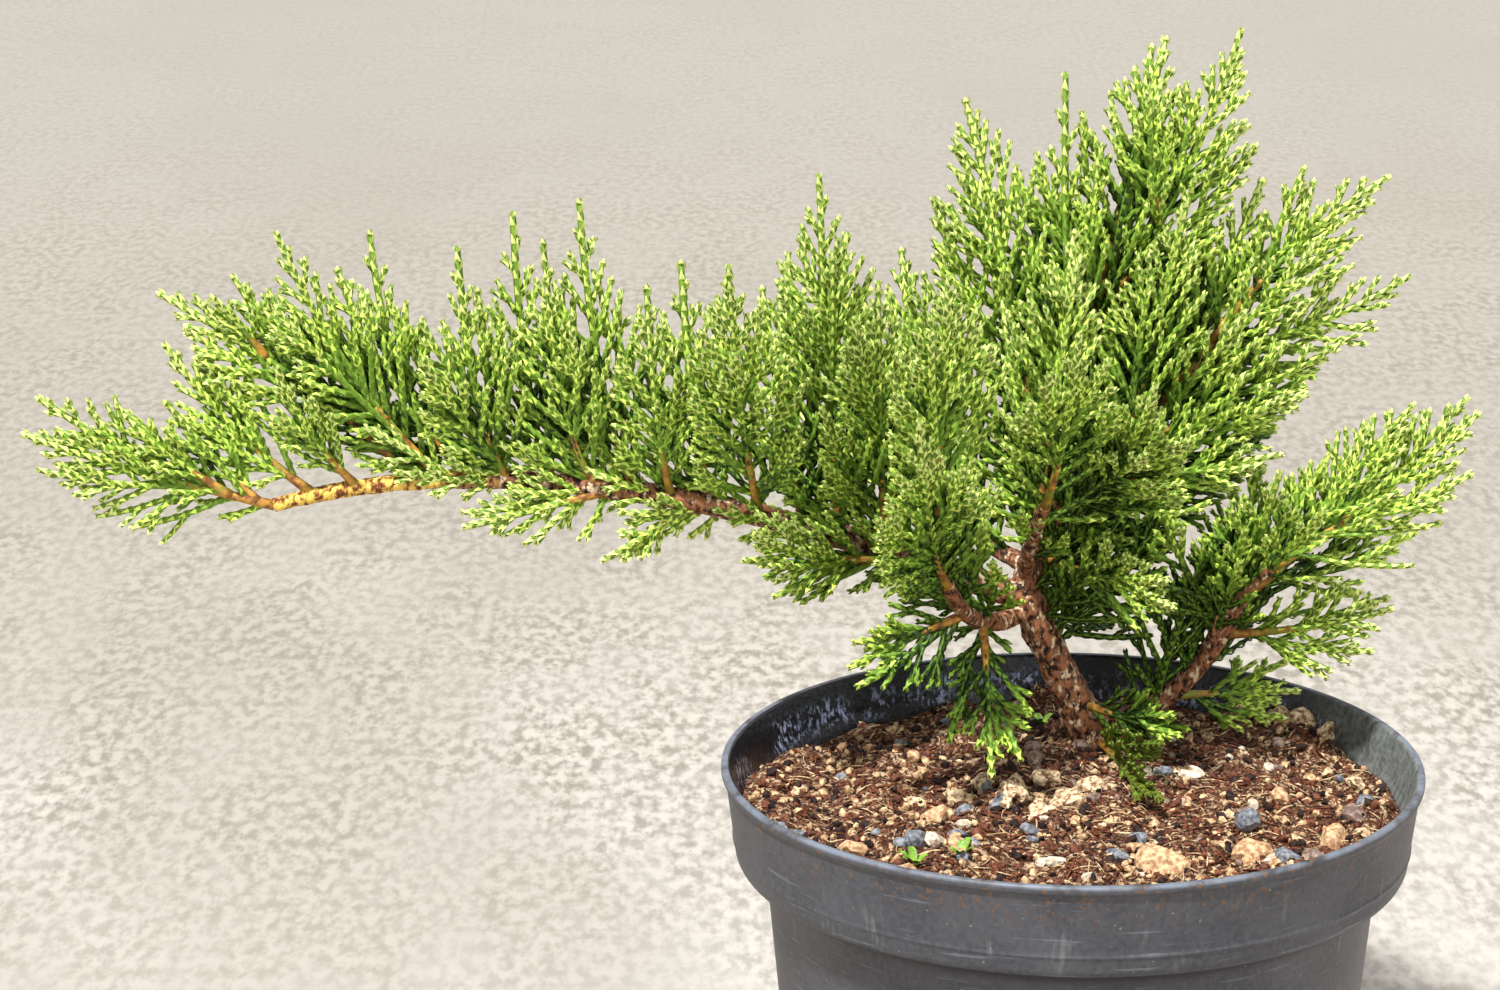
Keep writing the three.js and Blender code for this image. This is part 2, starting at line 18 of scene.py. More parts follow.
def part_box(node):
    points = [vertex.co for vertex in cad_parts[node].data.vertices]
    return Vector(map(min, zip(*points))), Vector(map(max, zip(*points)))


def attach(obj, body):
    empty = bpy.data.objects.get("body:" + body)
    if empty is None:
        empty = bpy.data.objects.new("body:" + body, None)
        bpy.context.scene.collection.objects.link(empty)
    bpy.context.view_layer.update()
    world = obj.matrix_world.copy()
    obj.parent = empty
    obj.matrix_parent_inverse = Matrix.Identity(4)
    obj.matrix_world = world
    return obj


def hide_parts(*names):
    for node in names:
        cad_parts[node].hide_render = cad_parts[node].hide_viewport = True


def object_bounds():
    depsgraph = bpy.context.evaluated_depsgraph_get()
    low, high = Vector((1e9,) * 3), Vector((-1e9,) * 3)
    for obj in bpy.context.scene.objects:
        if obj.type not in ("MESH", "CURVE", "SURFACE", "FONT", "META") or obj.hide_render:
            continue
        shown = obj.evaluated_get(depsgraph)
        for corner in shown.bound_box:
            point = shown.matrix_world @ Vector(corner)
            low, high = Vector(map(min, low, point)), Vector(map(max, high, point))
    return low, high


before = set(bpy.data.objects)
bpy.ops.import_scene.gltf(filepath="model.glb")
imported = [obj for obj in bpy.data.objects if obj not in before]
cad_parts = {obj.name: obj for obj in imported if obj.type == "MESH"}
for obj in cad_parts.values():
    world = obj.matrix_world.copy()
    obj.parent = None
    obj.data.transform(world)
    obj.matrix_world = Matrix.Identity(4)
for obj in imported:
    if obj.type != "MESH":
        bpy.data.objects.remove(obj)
CAD_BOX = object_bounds()

MM = 0.001
TURN = 2 * math.pi
SEED = 1000

# The pot's outline, as in the source.
POT_HEIGHT = 130
POT_RIM_RADIUS = 85
POT_LIP_HEIGHT = 2.6
POT_BAND_DEPTH = 22.7
POT_BAND_TOP_RADIUS = 84
POT_BAND_FOOT_RADIUS = 81.6
POT_BODY_TOP_RADIUS = 74.5
POT_FOOT_RADIUS = 64.5
POT_WALL = 1.6
POT_FLOOR = 2.4
POT_SIDES = 240
BAND_FOOT = POT_HEIGHT - POT_BAND_DEPTH
DRAIN_HOLES = 8
DRAIN_HOLE_RADIUS = 4.5
DRAIN_CIRCLE_RADIUS = 46
DRAIN_SIDES = 32
BEAD_HEIGHT = 4.6
BEAD_HALF = 0.7
BEAD_RISE = 0.35
CORNER_RADIUS = 0.8
CORNER_SHARE = 0.45
CORNER_STEPS = 4
INSIDE_MARGIN = 0.3

# The pot's inside, each height with its radius, from the floor up.
INSIDE_WALL = [
    (POT_FLOOR, POT_FOOT_RADIUS - POT_WALL),
    (BAND_FOOT - 2, POT_BODY_TOP_RADIUS - POT_WALL),
    (BAND_FOOT + 7, POT_BAND_FOOT_RADIUS - 3.4),
    (BAND_FOOT + 13, POT_BAND_FOOT_RADIUS - POT_WALL + 0.8),
    (POT_HEIGHT, POT_BAND_TOP_RADIUS - POT_WALL + 0.6),
]

# The soil's level, and its mounds and hollows: x, y, rise and spread.
SOIL_LEVEL = 118.5
SOIL_EDGE_FALL = 1
SOIL_MOUNDS = [
    (8, 28, 4, 26),
    (57, 47, 4.5, 9),
    (-70, 4, 2.5, 16),
    (-52, 56, -2, 18),
    (40, -48, 2.5, 20),
    (-30, -30, 1.5, 18),
]
SEAT = (10, 34, 121.6)
SEAT_RADIUS = 9.5

# Clods that stand out of the soil, as in the source: each ring's share of the soil's radius, how many
# corners of the source's rings it is from one clod to the next, and the first corner.
CLOD_RINGS = [(0.92, 2, 1), (0.6, 3, 0), (0.24, 6, 2)]
CLOD_CORNERS = 36
CLOD_RISE = (2.6, 5.2)
CLOD_SPREAD = 4.6
CLOD_FROM_STEMS = 9
CLOD_SEED = 500
SOIL_RINGS = 100
SOIL_SIDES = 300
SOIL_CLEARANCE = 0.3
SOIL_SHOULDER = 3
INNERMOST_RING = 0.01

# The soil's fine relief, from coarse to fine: how high, how wide and a seed. It is lower round the trunk,
# and it sinks to nothing beside the pot.
SOIL_RELIEF = [(0.9, 11, 1), (0.7, 5, 2), (0.5, 2.3, 3), (0.3, 1.1, 4)]
CALM_RADIUS = 12
CALM_SHARE = 0.3
CALM_EDGE = 2

# Stones of each colour: its light and dark tone, how many, and the x, y and size of those with a place
# of their own. The rest are strewn, and so are the crumbs, most of the lumps and the fibres.
STONES = {
    "blue_grey": (
        (0.54, 0.55, 0.57), (0.32, 0.33, 0.36), 30,
        [(8.4, -41.1, 6), (39.3, -27, 8), (71, -4.8, 6), (-26.2, -10.3, 5), (-11.5, -24.2, 5)],
    ),
    "orange_tan": (
        (0.84, 0.70, 0.54), (0.58, 0.42, 0.29), 38,
        [(17, -47.7, 11), (38.4, -43.5, 9), (59.7, -33.3, 8), (-33.7, -17.1, 6), (-28.7, -36, 7)],
    ),
    "cream": ((0.86, 0.82, 0.74), (0.66, 0.58, 0.49), 22, [(31.1, 13.7, 5), (-14.9, -3.5, 5)]),
    "brown_grey": ((0.62, 0.53, 0.47), (0.38, 0.30, 0.27), 34, [(67.1, -15.2, 6)]),
}
CRUMBS = {
    "dark": ((0.20, 0.11, 0.08), (0.07, 0.035, 0.03), 1100),
    "red": ((0.46, 0.26, 0.17), (0.24, 0.12, 0.08), 900),
    "tan": ((0.86, 0.74, 0.57), (0.58, 0.44, 0.31), 1000),
}
PEAT_TONES = ((0.92, 0.82, 0.66), (0.44, 0.29, 0.19))
PEAT_COUNT = 40
PEAT_LUMPS = [
    (-20, 8, 8), (-12, 2, 9), (-4, 7, 7), (-15, -8, 8), (-2, -5, 8), (-27, -1, 7), (-8, -15, 6), (6, 3, 6),
    (62, 48, 8), (56, 52, 6), (68, 42, 6), (61, 56, 6), (66, 18, 6), (71, 8, 5),
]
# Fibres of each colour: its tones, how many, the least and most length, and the radius.
FIBRES = {
    "tan": ((0.88, 0.77, 0.60), (0.60, 0.47, 0.33), 700, (1.6, 7), 0.2),
    "red": ((0.50, 0.27, 0.15), (0.25, 0.12, 0.07), 800, (2, 8), 0.26),
}
FIBRE_RINGS = [0.05, 0.35, 0.65, 0.95]
FIBRE_TAPER = [0.6, 1, 1, 0.6]
FIBRE_RANGE = (0.6, 1.4)
FIBRES_TO = 0.95
FIBRE_LIFT = 0.5
FIBRE_FROM_SOIL = 0.2
FIBRE_FROM_POT = 1.2
STONE_SEED = 40
CRUMB_SEED = 60
LUMP_SEED = 70
FIBRE_SEED = 81

# The strewn shapes: the share of the soil's radius that they keep to, how much more small ones there are,
# each one's length, width and height against its size, how wide its bumps are, and how far along the noise
# the next one's bumps are taken.
STREWN_TO = 0.97
MOSTLY_SMALL = 2.2
STRETCHES = [(0.8, 1.3), (0.6, 1), (0.8, 1.2)]
BUMP_WIDTH = 0.85
NEXT_SHAPE = 7.7

SEEDLINGS = [(-3.5, 54.3), (4.6, 44.1), (-39.6, -43.7), (-29.1, -43.8)]
SEEDLING_LEAVES = 5
SEEDLING_LEAF = 3.8
SEEDLING_RANGE = (0.7, 1.2)
SEEDLING_WIDTH = 0.28
SEEDLING_FOLD = 0.35
SEEDLING_RISE = 0.9
SEEDLING_CURL = 1.7
SEEDLING_SUNK = 0.3
SEEDLING_SEED = 90

# Limbs, each after the one it leaves: name, that limb, the share of it, the end from the root,
# the pull point from the middle of the straight line, and the radius at the root and the tip.
LIMBS = [
    ("trunk", None, 0, (-20, -6, 42.5), (-2, 0, 1), (4.1, 4.4)),
    ("bough_top", "trunk", 1, (19, 12, 77), (0, 4, 0), (3.2, 1.6)),
    ("bough_left", "trunk", 0.95, (-184, -10, 28), (-21, -7, 35), (3.4, 1.7)),
    ("bough_front_left", "trunk", 0.9, (-26, -42, 33), (-8, -4, -22), (2.5, 1.5)),
    ("bough_front_right", "bough_top", 0.05, (2, -25, 25), (-3, 0, -3), (2.2, 1.5)),
    ("bough_right_top", "bough_top", 0.14, (43, 7, 50), (3, 0, -5), (2.4, 1.4)),
    ("bough_right", "trunk", 0.1, (36, -8, 37), (7, 0, -11), (3, 1.8)),
    ("bough_right_fork", "bough_right", 0.72, (13, -14, 26), (-5, -2, 4), (1.9, 1.3)),
    ("bough_back_left", "bough_top", 0.08, (-34, 36, 26), (-3, 5, -10), (2.2, 1.3)),
    ("bough_back_right", "bough_top", 0.2, (24, 36, 26), (2, 6, -10), (2.2, 1.3)),
]
TRUNK_FLARE = 3.4
TRUNK_FLARE_HEIGHT = 6
LIMB_SAMPLES = 40

# The bark's rings, finer on the thick limbs, the collar at each bough's foot, and the relief as shares of
# the radius: how high, how much shorter than wide, how wide, the lowest it goes, and its seed.
BARK_STEP = 0.9
BARK_SIDES = (20, 28)
THICK_LIMB = 3
COLLAR_RISE = 0.25
COLLAR_LENGTH = 4
BARK_AROUND = 3
BARK_ALONG = 4
BARK_RELIEF = [(0.1, 1, 1.6, -1, 0), (0.12, 2.2, 0.9, -0.2, 5), (0.05, 4, 0.5, -1, 9)]

# Sprays: name, limb, the share of it, the tip from the root, the arch, the longest twig, and the
# lesser stems that leave the main one, each with its share, its tip and its longest twig.
SPRAYS = [
    ("left_tip", "left", 1, (-60, -2, 19), 0.06, 19,
     [(0.06, (-22, 5, 24), 9), (0.16, (-24, -6, 22), 10)]),
    ("left_outer_low", "left", 0.93, (-36, 5, 37), 0.1, 17, []),
    ("left_outer_fill", "left", 0.86, (-18, -10, 33), 0.12, 15, []),
    ("left_outer_long", "left", 0.77, (-62, 6, 46), -0.08, 17,
     [(0.4, (-14, 5, 22), 9), (0.62, (-12, -5, 16), 8)]),
    ("left_outer_spire", "left", 0.73, (-38, -6, 63), 0.12, 16, [(0.3, (-8, 5, 24), 9)]),
    ("left_spire_1", "left", 0.675, (-26, 6, 61), 0.35, 17, []),
    ("left_spire_2", "left", 0.635, (-11, -8, 60), 0.3, 16, []),
    ("left_spire_3", "left", 0.575, (-9, 7, 66), 0.3, 18, []),
    ("left_spire_4", "left", 0.515, (-12, -9, 64), 0.3, 16, []),
    ("left_spire_5", "left", 0.465, (-13, 5, 72), 0.25, 18, []),
    ("left_spire_6", "left", 0.42, (-5, -16, 57), 0.2, 16, []),
    ("left_spire_7", "left", 0.37, (-7, 7, 60), 0.2, 17, []),
    ("left_front_spire", "left", 0.31, (-7, -37, 71), 0.15, 22, []),
    ("left_spire_8", "left", 0.26, (-3, 12, 66), 0.1, 19, []),
    ("left_spire_9", "left", 0.215, (-5, -8, 92), 0.1, 20, []),
    ("left_inner_front", "left", 0.16, (-3, -27, 74), 0.15, 19, []),
    ("left_under_long", "left", 0.49, (-37, -12, -6), 0, 12, []),
    ("left_under_short", "left", 0.4, (-21, -8, -13), -0.1, 9, []),
    ("left_low_front", "left", 0.13, (-39, -31, 16), 0.2, 14, []),
    ("front_left", "front_left", 1, (2, -20, 65), 0.05, 24, []),
    ("front_left_low", "front_left", 0.72, (-9, -44, 53), 0.2, 20, []),
    ("front_left_side", "front_left", 0.5, (-29, -14, -9), 0.05, 14, []),
    ("front_left_hanging", "front_left", 0.35, (1, -26, -31), 0.1, 12, []),
    ("front_right", "front_right", 1, (5, -31, 50), 0.15, 21, []),
    ("centre_front", "front_right", 0.8, (8, 2, 72), 0, 20, []),
    ("top_left_spire", "top", 0.3, (-21, 2, 99), -0.05, 21, []),
    ("top_middle_spire", "top", 0.75, (-5.5, -2, 71), 0.5, 18, []),
    ("top_spire", "top", 1, (15, 7, 58), 0, 17, []),
    ("top_right_plume", "top", 0.82, (35, -6, 76), 0.12, 18, [(0.42, (-4, -4, 34), 11)]),
    ("right_top_front", "right_top", 0.45, (14, -9, 69), 0.05, 19, []),
    ("right_top_spire", "right_top", 0.64, (26, 4, 61), 0.05, 18, []),
    ("right_top_plume", "right_top", 1, (42, -3, 42), -0.1, 18, []),
    ("right_outer", "right_top", 0.6, (38, -12, 13), 0.05, 16, []),
    ("right_outer_low", "right_top", 0.34, (43, -15, 12), 0, 14, []),
    ("centre_middle", "top", 0.24, (22, -51, 46), 0.2, 22, []),
    ("centre_low", "top", 0.12, (31, -39, -2), 0.1, 18, []),
    ("right_plume", "right_fork", 1, (48, -4, 40), 0.05, 18, []),
    ("right_plume_back", "right", 1, (41, 6, 43), 0.1, 17, []),
    ("right_low", "right", 0.82, (40, -11, 10), 0.15, 14, []),
    ("right_rim", "right", 0.42, (34, 6, -1), 0.05, 11, []),
    ("foot_sprig", "trunk", 0.28, (24, -24, -1), 0, 13, []),
    ("fallen_sprig", "trunk", 0.06, (12, -50, 1), 0, 9, []),
    ("back_left", "back_left", 1, (-22, 22, 46), 0.2, 22, []),
    ("back_left_upper", "back_left", 0.6, (2, 10, 68), 0.1, 22, []),
    ("back_right", "back_right", 1, (22, 20, 42), 0.2, 22, []),
    ("back_right_upper", "back_right", 0.7, (-4, 12, 60), 0.1, 22, []),
    ("back_right_low", "back_right", 0.6, (38, 12, 12), 0.15, 18, []),
]
STEM_SAMPLES = 24

# How a spray grows. Leaders leave the stem round and round by the golden angle and turn up beside it.
# Twigs stand in two rows along each stem and leader, and shoots along each twig, as flat fans that face
# the viewer more or less. Angles are in degrees, and where there are two, the first is at the parent's
# foot and the second at its tip.
LEADER_STEP = 12
LEADER_SPAN = (0.05, 0.62)
LEADER_ANGLE = 27
LEADER_REACH = 0.82
LEADER_WIDTH = 0.72
ROW_STEP = 3.8
TWIG_SPAN = (0.03, 0.93)
TWIG_ANGLE = (44, 24)
TWIG_REACH = 1.6
TWIG_TAPER = 0.6
SHOOT_STEP = 11
SHOOT_SPAN = (0.4, 0.8)
SHOOT_ANGLE = 28
SHOOT_SHARE = 0.45
SHOOT_TAPER = 0.8
ROW_TWIST = 0.2
FACING = np.array([0.0, 1.0, 0.0])
SPACE_OVERLAP = 8
JITTER = 0.25
TRIED_SHARES = np.linspace(0.2, 1, 9)

# The longest twig along a stem: it widens up to a share of the stem, and then narrows to the tip.
WIDEST_AT = 0.2
WIDEN_POWER = 0.6
NARROW_POWER = 0.85
WIDEST = 1.2
LEAST_WIDTH = 0.17

# Leaders that grow straight from a limb: the limb, the first and last share of it, their spacing, length
# and width, their angle from the limb, and the side that they stand on.
LIMB_GROWTH = [
    ("trunk", (0.6, 1.0), 0.9, 50, 14, 72, (1, -0.2, 0.2)),
    ("trunk", (0.75, 1.0), 0.8, 26, 12, 55, (-0.3, -1, 0.3)),
    ("bough_left", (0.03, 0.74), 3.4, 26, 10, 42, (-0.3, -0.8, 0.5)),
    ("bough_left", (0.02, 0.7), 3.6, 34, 11, 55, (-0.1, 0.9, 0.6)),
    ("bough_top", (0.0, 0.45), 1.8, 28, 12, 36, (0, -1, 0.6)),
    ("bough_top", (0.45, 0.95), 4.4, 36, 13, 42, (0, -1, 0.5)),
    ("bough_top", (0.02, 0.95), 2.7, 40, 13, 42, (0, 1, 0.5)),
    ("bough_front_left", (0.1, 1.0), 5.0, 30, 13, 42, (-0.3, 0.1, 1)),
    ("bough_front_right", (0.3, 1.0), 5.0, 24, 10, 42, (0, 0, 1)),
    ("bough_right_top", (0.02, 1.0), 2.2, 46, 14, 46, (0.8, -0.3, -0.2)),
    ("bough_right_top", (0.02, 1.0), 3.0, 40, 13, 42, (-0.2, 1, 0.4)),
    ("bough_right", (0.2, 1.0), 2.0, 38, 13, 42, (-0.5, 0.4, 1)),
    ("bough_right_fork", (0.05, 1.0), 2.0, 32, 12, 42, (0, 0.2, 1)),
    ("bough_back_left", (0.05, 1.0), 2.2, 42, 14, 42, (-0.2, -0.2, 1)),
    ("bough_back_right", (0.05, 1.0), 2.4, 40, 13, 42, (0.2, -0.2, 1)),
]
LIMB_GROWTH_REACH = 120
LEAST_TO_SIDE = 0.3

# How far growth may stand out of the box of the spray's own solid, and of the whole part's.
PAST_OWN_BOX = 5
PAST_PART_BOX = 1
GOLDEN = math.radians(137.5)

# A shoot is a slim core with pairs of scale leaves, each pair turned by a quarter from the last.
# THICKNESS is for the stems, the leaders, the twigs and the shoots.
CORD_RADIUS = 1.1
CORE_RADIUS = 0.82
THICKNESS = [1.18, 1.1, 0.98, 0.9]
THICKNESS_RANGE = (0.92, 1.08)
BARE_STEM = 0.22
BARE_TWIG = 0.06
WOODY_SHARE = 0.36
WOODY_RADIUS = (1.35, 0.8)
WOODY_RINGS = 8
WOODY_SIDES = 6
PAIR_STEP = 1.5
LEAF_LENGTH = 2.4
LEAF_HALF_WIDTH = math.radians(78)
LEAF_FOOT = 0.97
LEAF_KEEL_RADIUS = 1.0
LEAF_TIP_RADIUS = 0.84
LEAF_FACES = np.array([[0, 2, 1], [0, 3, 2], [2, 3, 1]])

# The shoot's end: how far from it the last pair stands, how thin it is and over what length, how far a
# leaf may pass it, and how the last leaves close over it.
LAST_PAIR = 1.1
END_THICKNESS = 0.85
END_LENGTH = 2
PAST_END = 0.4
CLOSED_AT = 0.3
CLOSE_LENGTH = 1.3
CLOSED_SHARE = 0.3

# Greens from the youngest tips to the shaded inside, as sRGB.
GREENS = {
    "tip": (0.88, 0.93, 0.54),
    "light": (0.85, 0.93, 0.44),
    "mid": (0.775, 0.89, 0.36),
    "deep": (0.51, 0.65, 0.23),
    "shade": (0.16, 0.26, 0.09),
}
# The cores' green is darker than the leaves' outer greens: partly the shoot's own colour, partly painted
# shade in the crevices between leaves.
CORE_GREEN = (0.42, 0.55, 0.18)
FALLEN_GREEN = (0.42, 0.42, 0.15)
CORE_KINDS = {"short": (0, 7, 2), "middle": (7, 24, 3), "long": (24, 1000, 9)}
CORE_TIP = 0.7
CORE_START = 0.04
CORE_TIP_SHARE = 0.8
TONE_STEPS = [1.12, 0.87, 0.67, 0.48]
# Cells and steps for counting the foliage round each leaf and above and before it, for painted shade in its
# green.
CROWD_CELL = 4
COVER_STEPS = (2, 3, 4, 5)
CROWDED_PERCENT = 90

# What lightens a leaf: to stand near its shoot's tip, far out on its spray, or by chance, and as painted
# light, to have room round it and nothing over it. What darkens it: painted shade under the crown, round
# the trunk, which is below one height and to the left. LIGHT_LOST comes off every leaf.
LIGHT_NEAR_TIP = 0.3
TIP_LENGTH = 7
LIGHT_FAR_OUT = 0.5
FARTHEST = 1.1
PAINTED_LIGHT_WITH_ROOM = 0.5
PAINTED_LIGHT_WHEN_OPEN = 0.8
LIGHT_BY_CHANCE = 0.2
LIGHT_LOST = 0.46
PAINTED_SHADE_UNDER_CROWN = 0.6
SHADE_BELOW = 182
SHADE_LEFT_OF = 62
SHADE_EDGE = 30

# How a surface's noise is stretched: the less along an axis, the longer the marks are that way.
LENGTHWISE = (1, 1, 0.6)
STREAKS = (1, 1, 0.06)
SCUFFS = (0.12, 0.12, 2.4)
AWAY = (1, 0.45, 1)

# Where the bark is young, more and more from the first value to the second: far out on the left bough,
# and high up on the right. Then the way across the pot along which its inside is damp and black, and how
# far along it; the black there is partly painted shade.
YOUNG_FROM_LEFT = (-120, -165)
YOUNG_FROM_HEIGHT = (166, 205)
YOUNG_RIGHT_OF = (-30, 0)
WET_AND_SHADE_WAY = (-0.94, 0.34)
WET_AND_SHADE_FROM = (-62, -36)

# The camera: the photograph's view, worked out from the pot's rim and sides.
CAMERA_EYE = (-77.6, -917.2, 455.9)
CAMERA_PITCH = math.radians(15.75)
CAMERA_ROLL = math.radians(0.30)
SENSOR_WIDTH = 36
FOCAL_LENGTH = 96

# The light, with its places in metres.
SUN_WAY = (0.4, 0.62, -1.35)
SUN_STRENGTH = 6.2
SUN_ANGLE = math.radians(5)
FILL_PLACE = (0.9, -1.6, 0.9)
FILL_WAY = (-0.95, 1.6, -0.74)
FILL_SIZE = 1.6
FILL_WATTS = 12
SKY_STRENGTH = 0.58
FLOOR_REACH = 6


def linear(colour):
    """An sRGB colour as the linear one that a shader takes."""
    return tuple(c / 12.92 if c <= 0.04045 else ((c + 0.055) / 1.055) ** 2.4 for c in colour) + (1,)


def mix(a, b, t):
    return a + (b - a) * t


def unit(vectors):
    return vectors / np.linalg.norm(vectors, axis=-1, keepdims=True)


def directions(angles):
    """Flat unit vectors."""
    return np.stack([np.cos(angles), np.sin(angles)], -1)


def numbered(counts):
    """For things in groups of the given sizes: the group of each, and its number in its group."""
    group = np.repeat(np.arange(len(counts)), counts)
    return group, np.arange(len(group)) - np.repeat(np.cumsum(counts) - counts, counts)


def smooth_noise(points, size, seed):
    """Noise from -1 to 1 at points, with features about size across."""
    cell = points / size + seed * 17.31
    low = np.floor(cell).astype(np.int64)
    part = cell - low
    part = part * part * (3 - 2 * part)
    total = np.zeros(len(points))
    for corner in np.ndindex(2, 2, 2):
        corner = np.array(corner)
        key = ((low + corner) * np.array([73856093, 19349663, 83492791])).sum(axis=1) & 0xFFFFFFFF
        key = ((key ^ (key >> 13)) * 1274126177) & 0xFFFFFFFF
        value = ((key ^ (key >> 16)) & 0xFFFF) / 32767.5 - 1
        total += np.prod(np.where(corner == 1, part, 1 - part), axis=1) * value
    return total


# Meshes


def add_object(name, data):
    thing = bpy.data.objects.new(name, data)
    bpy.context.scene.collection.objects.link(thing)
    return thing


def add_piece(name, points, triangles, materials, replaced, smooth=False, material_index=None):
    """An object in the scene from points in millimetres and triangles."""
    mesh = bpy.data.meshes.new(name)
    mesh.vertices.add(len(points))
    mesh.vertices.foreach_set("co", (np.asarray(points) * MM).astype(np.float32).ravel())
    triangles = np.asarray(triangles, np.int32)
    mesh.loops.add(triangles.size)
    mesh.loops.foreach_set("vertex_index", triangles.ravel())
    mesh.polygons.add(len(triangles))
    mesh.polygons.foreach_set("loop_start", np.arange(0, triangles.size, 3, dtype=np.int32))
    mesh.polygons.foreach_set("use_smooth", np.full(len(triangles), smooth))
    for material in materials:
        mesh.materials.append(material)
    if material_index is not None:
        mesh.polygons.foreach_set("material_index", np.asarray(material_index, np.int32))
    mesh.update(calc_edges=True)
    mesh.validate()
    piece = add_object(name, mesh)
    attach(piece, "root")
    if replaced:
        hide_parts(*replaced)


def add_shapes(name, shapes, pattern, material, replaced, smooth=False):
    """Many shapes (n, corners, 3) of one pattern of triangles as one piece."""
    faces = pattern + np.arange(len(shapes))[:, None, None] * shapes.shape[1]
    add_piece(name, shapes.reshape(-1, 3), faces.reshape(-1, 3), [material], replaced, smooth)


def joined(parts):
    """One pair of points and triangles from several."""
    points, triangles, start = [], [], 0
    for part_points, part_triangles in parts:
        points.append(part_points)
        triangles.append(np.asarray(part_triangles) + start)
        start += len(part_points)
    return np.concatenate(points), np.concatenate(triangles)


def grid_triangles(rows, sides):
    """The triangles between rings of points that close round."""
    row = np.arange(rows - 1)[:, None] * sides
    side = np.arange(sides)[None, :]
    after = (side + 1) % sides
    a, b, c, d = row + side, row + after, row + sides + after, row + sides + side
    return np.stack([np.stack([a, b, c], -1), np.stack([a, c, d], -1)], 2).reshape(-1, 3)


def end_cap(first, sides, middle, outward):
    """A fan that closes a ring whose first point is given, about a middle point."""
    side = np.arange(sides)
    after = (side + 1) % sides
    ring, later = (first + side, first + after) if outward else (first + after, first + side)
    return np.stack([ring, later, np.full(sides, middle)], -1)


def capped_grid(rows, sides):
    """The triangles of a tube of rings whose two end points follow the rings."""
    last = rows * sides
    caps = [end_cap(0, sides, last, False), end_cap(last - sides, sides, last + 1, True)]
    return np.concatenate([grid_triangles(rows, sides)] + caps)


def circle(radius, sides, centre=(0, 0), first=0):
    """Flat points round a centre. first says where the first one stands, in steps from the x axis."""
    return centre + radius * directions((np.arange(sides) + first) * TURN / sides)


def at_height(places, z):
    """Points over flat places, at one height or each at its own."""
    return np.column_stack([places, np.broadcast_to(z, len(places))])


def ways_round(side, other, sides):
    """Unit vectors all round each pair of square directions."""
    turns = np.arange(sides) * TURN / sides
    return side[..., None, :] * np.cos(turns)[:, None] + other[..., None, :] * np.sin(turns)[:, None]


# Curves


def curve_points(curves, shares):
    """Points of quadratic curves (n, 3, 3) at shares (n, k)."""
    t = shares[..., None]
    a, b, c = (curves[:, None, i] for i in range(3))
    return (1 - t) ** 2 * a + 2 * t * (1 - t) * b + t**2 * c


def points_on(curve, shares):
    return curve_points(curve[None], shares[None])[0]


def point_on(curve, share):
    return points_on(curve, np.array([share]))[0]


def curve_tangents(curves, shares):
    t = shares[..., None]
    a, b, c = (curves[:, None, i] for i in range(3))
    return unit((1 - t) * (b - a) + t * (c - b))


def curve_lengths(curves):
    points = curve_points(curves, np.tile(np.linspace(0, 1, 9), (len(curves), 1)))
    return np.linalg.norm(np.diff(points, axis=1), axis=2).sum(axis=1)


def crossways(along):
    """A unit vector square to each given one."""
    helper = np.where(np.abs(along[..., 2:3]) > 0.9, [1.0, 0.0, 0.0], [0.0, 0.0, 1.0])
    return unit(np.cross(along, helper))


def curve_frames(curves, shares):
    """Points, tangents and two square directions along curves."""
    points = curve_points(curves, shares)
    along = curve_tangents(curves, shares)
    first = crossways(curve_tangents(curves, np.zeros((len(curves), 1))))
    side = unit(first - (first * along).sum(-1, keepdims=True) * along)
    return points, along, side, np.cross(along, side)


def first_part(curves, share):
    """Each curve up to a share of it."""
    pull = mix(curves[:, 0], curves[:, 1], share)
    ends = curve_points(curves, np.full((len(curves), 1), share))[:, 0]
    return np.stack([curves[:, 0], pull, ends], 1)


def bowed_curve(root, to, bend):
    """The curve from a root to the point that stands off it by to, pulled aside by bend."""
    root = np.asarray(root, float)
    end = root + to
    return np.stack([root, (root + end) / 2 + bend, end])


# The plan of limbs and stems, as in the source


def plan_limbs():
    limbs = {}
    for name, parent, share, to, bend, radius in LIMBS:
        root = SEAT
        if parent:
            root = point_on(limbs[parent]["curve"], share)
        curve = bowed_curve(root, to, bend)
        limbs[name] = {"curve": curve, "length": curve_lengths(curve[None])[0], "radius": radius}
    return limbs


def limb_marks(limbs):
    """Points along every limb, one limb after another."""
    shares = np.linspace(0, 1, LIMB_SAMPLES + 1)
    return np.concatenate([points_on(limb["curve"], shares) for limb in limbs.values()])


def limb_radius(name, limb, shares):
    thick, thin = limb["radius"]
    flare = 0
    if name == "trunk":
        flare = TRUNK_FLARE * np.exp(-shares * limb["length"] / TRUNK_FLARE_HEIGHT)
    return mix(thick, thin, shares) + flare


def plan_sprays(limbs):
    """Each spray's stems, with the points that mark its own space."""
    sprays = []
    for name, on, at, to, arch, width, forks in SPRAYS:
        limb = limbs["trunk" if on == "trunk" else f"bough_{on}"]
        bow = np.array([arch, arch, -arch])
        main = bowed_curve(point_on(limb["curve"], at), to, to * bow)
        stems, widths = [main], [width]
        for fork_at, fork_to, fork_width in forks:
            stems.append(bowed_curve(point_on(main, fork_at), fork_to, fork_to * bow))
            widths.append(fork_width)
        stems = np.stack(stems)
        shares = np.tile(np.linspace(0, 1, STEM_SAMPLES + 1), (len(stems), 1))
        samples = curve_points(stems, shares).reshape(-1, 3)
        sprays.append({"name": name, "stems": stems, "widths": np.array(widths), "samples": samples})
    return sprays


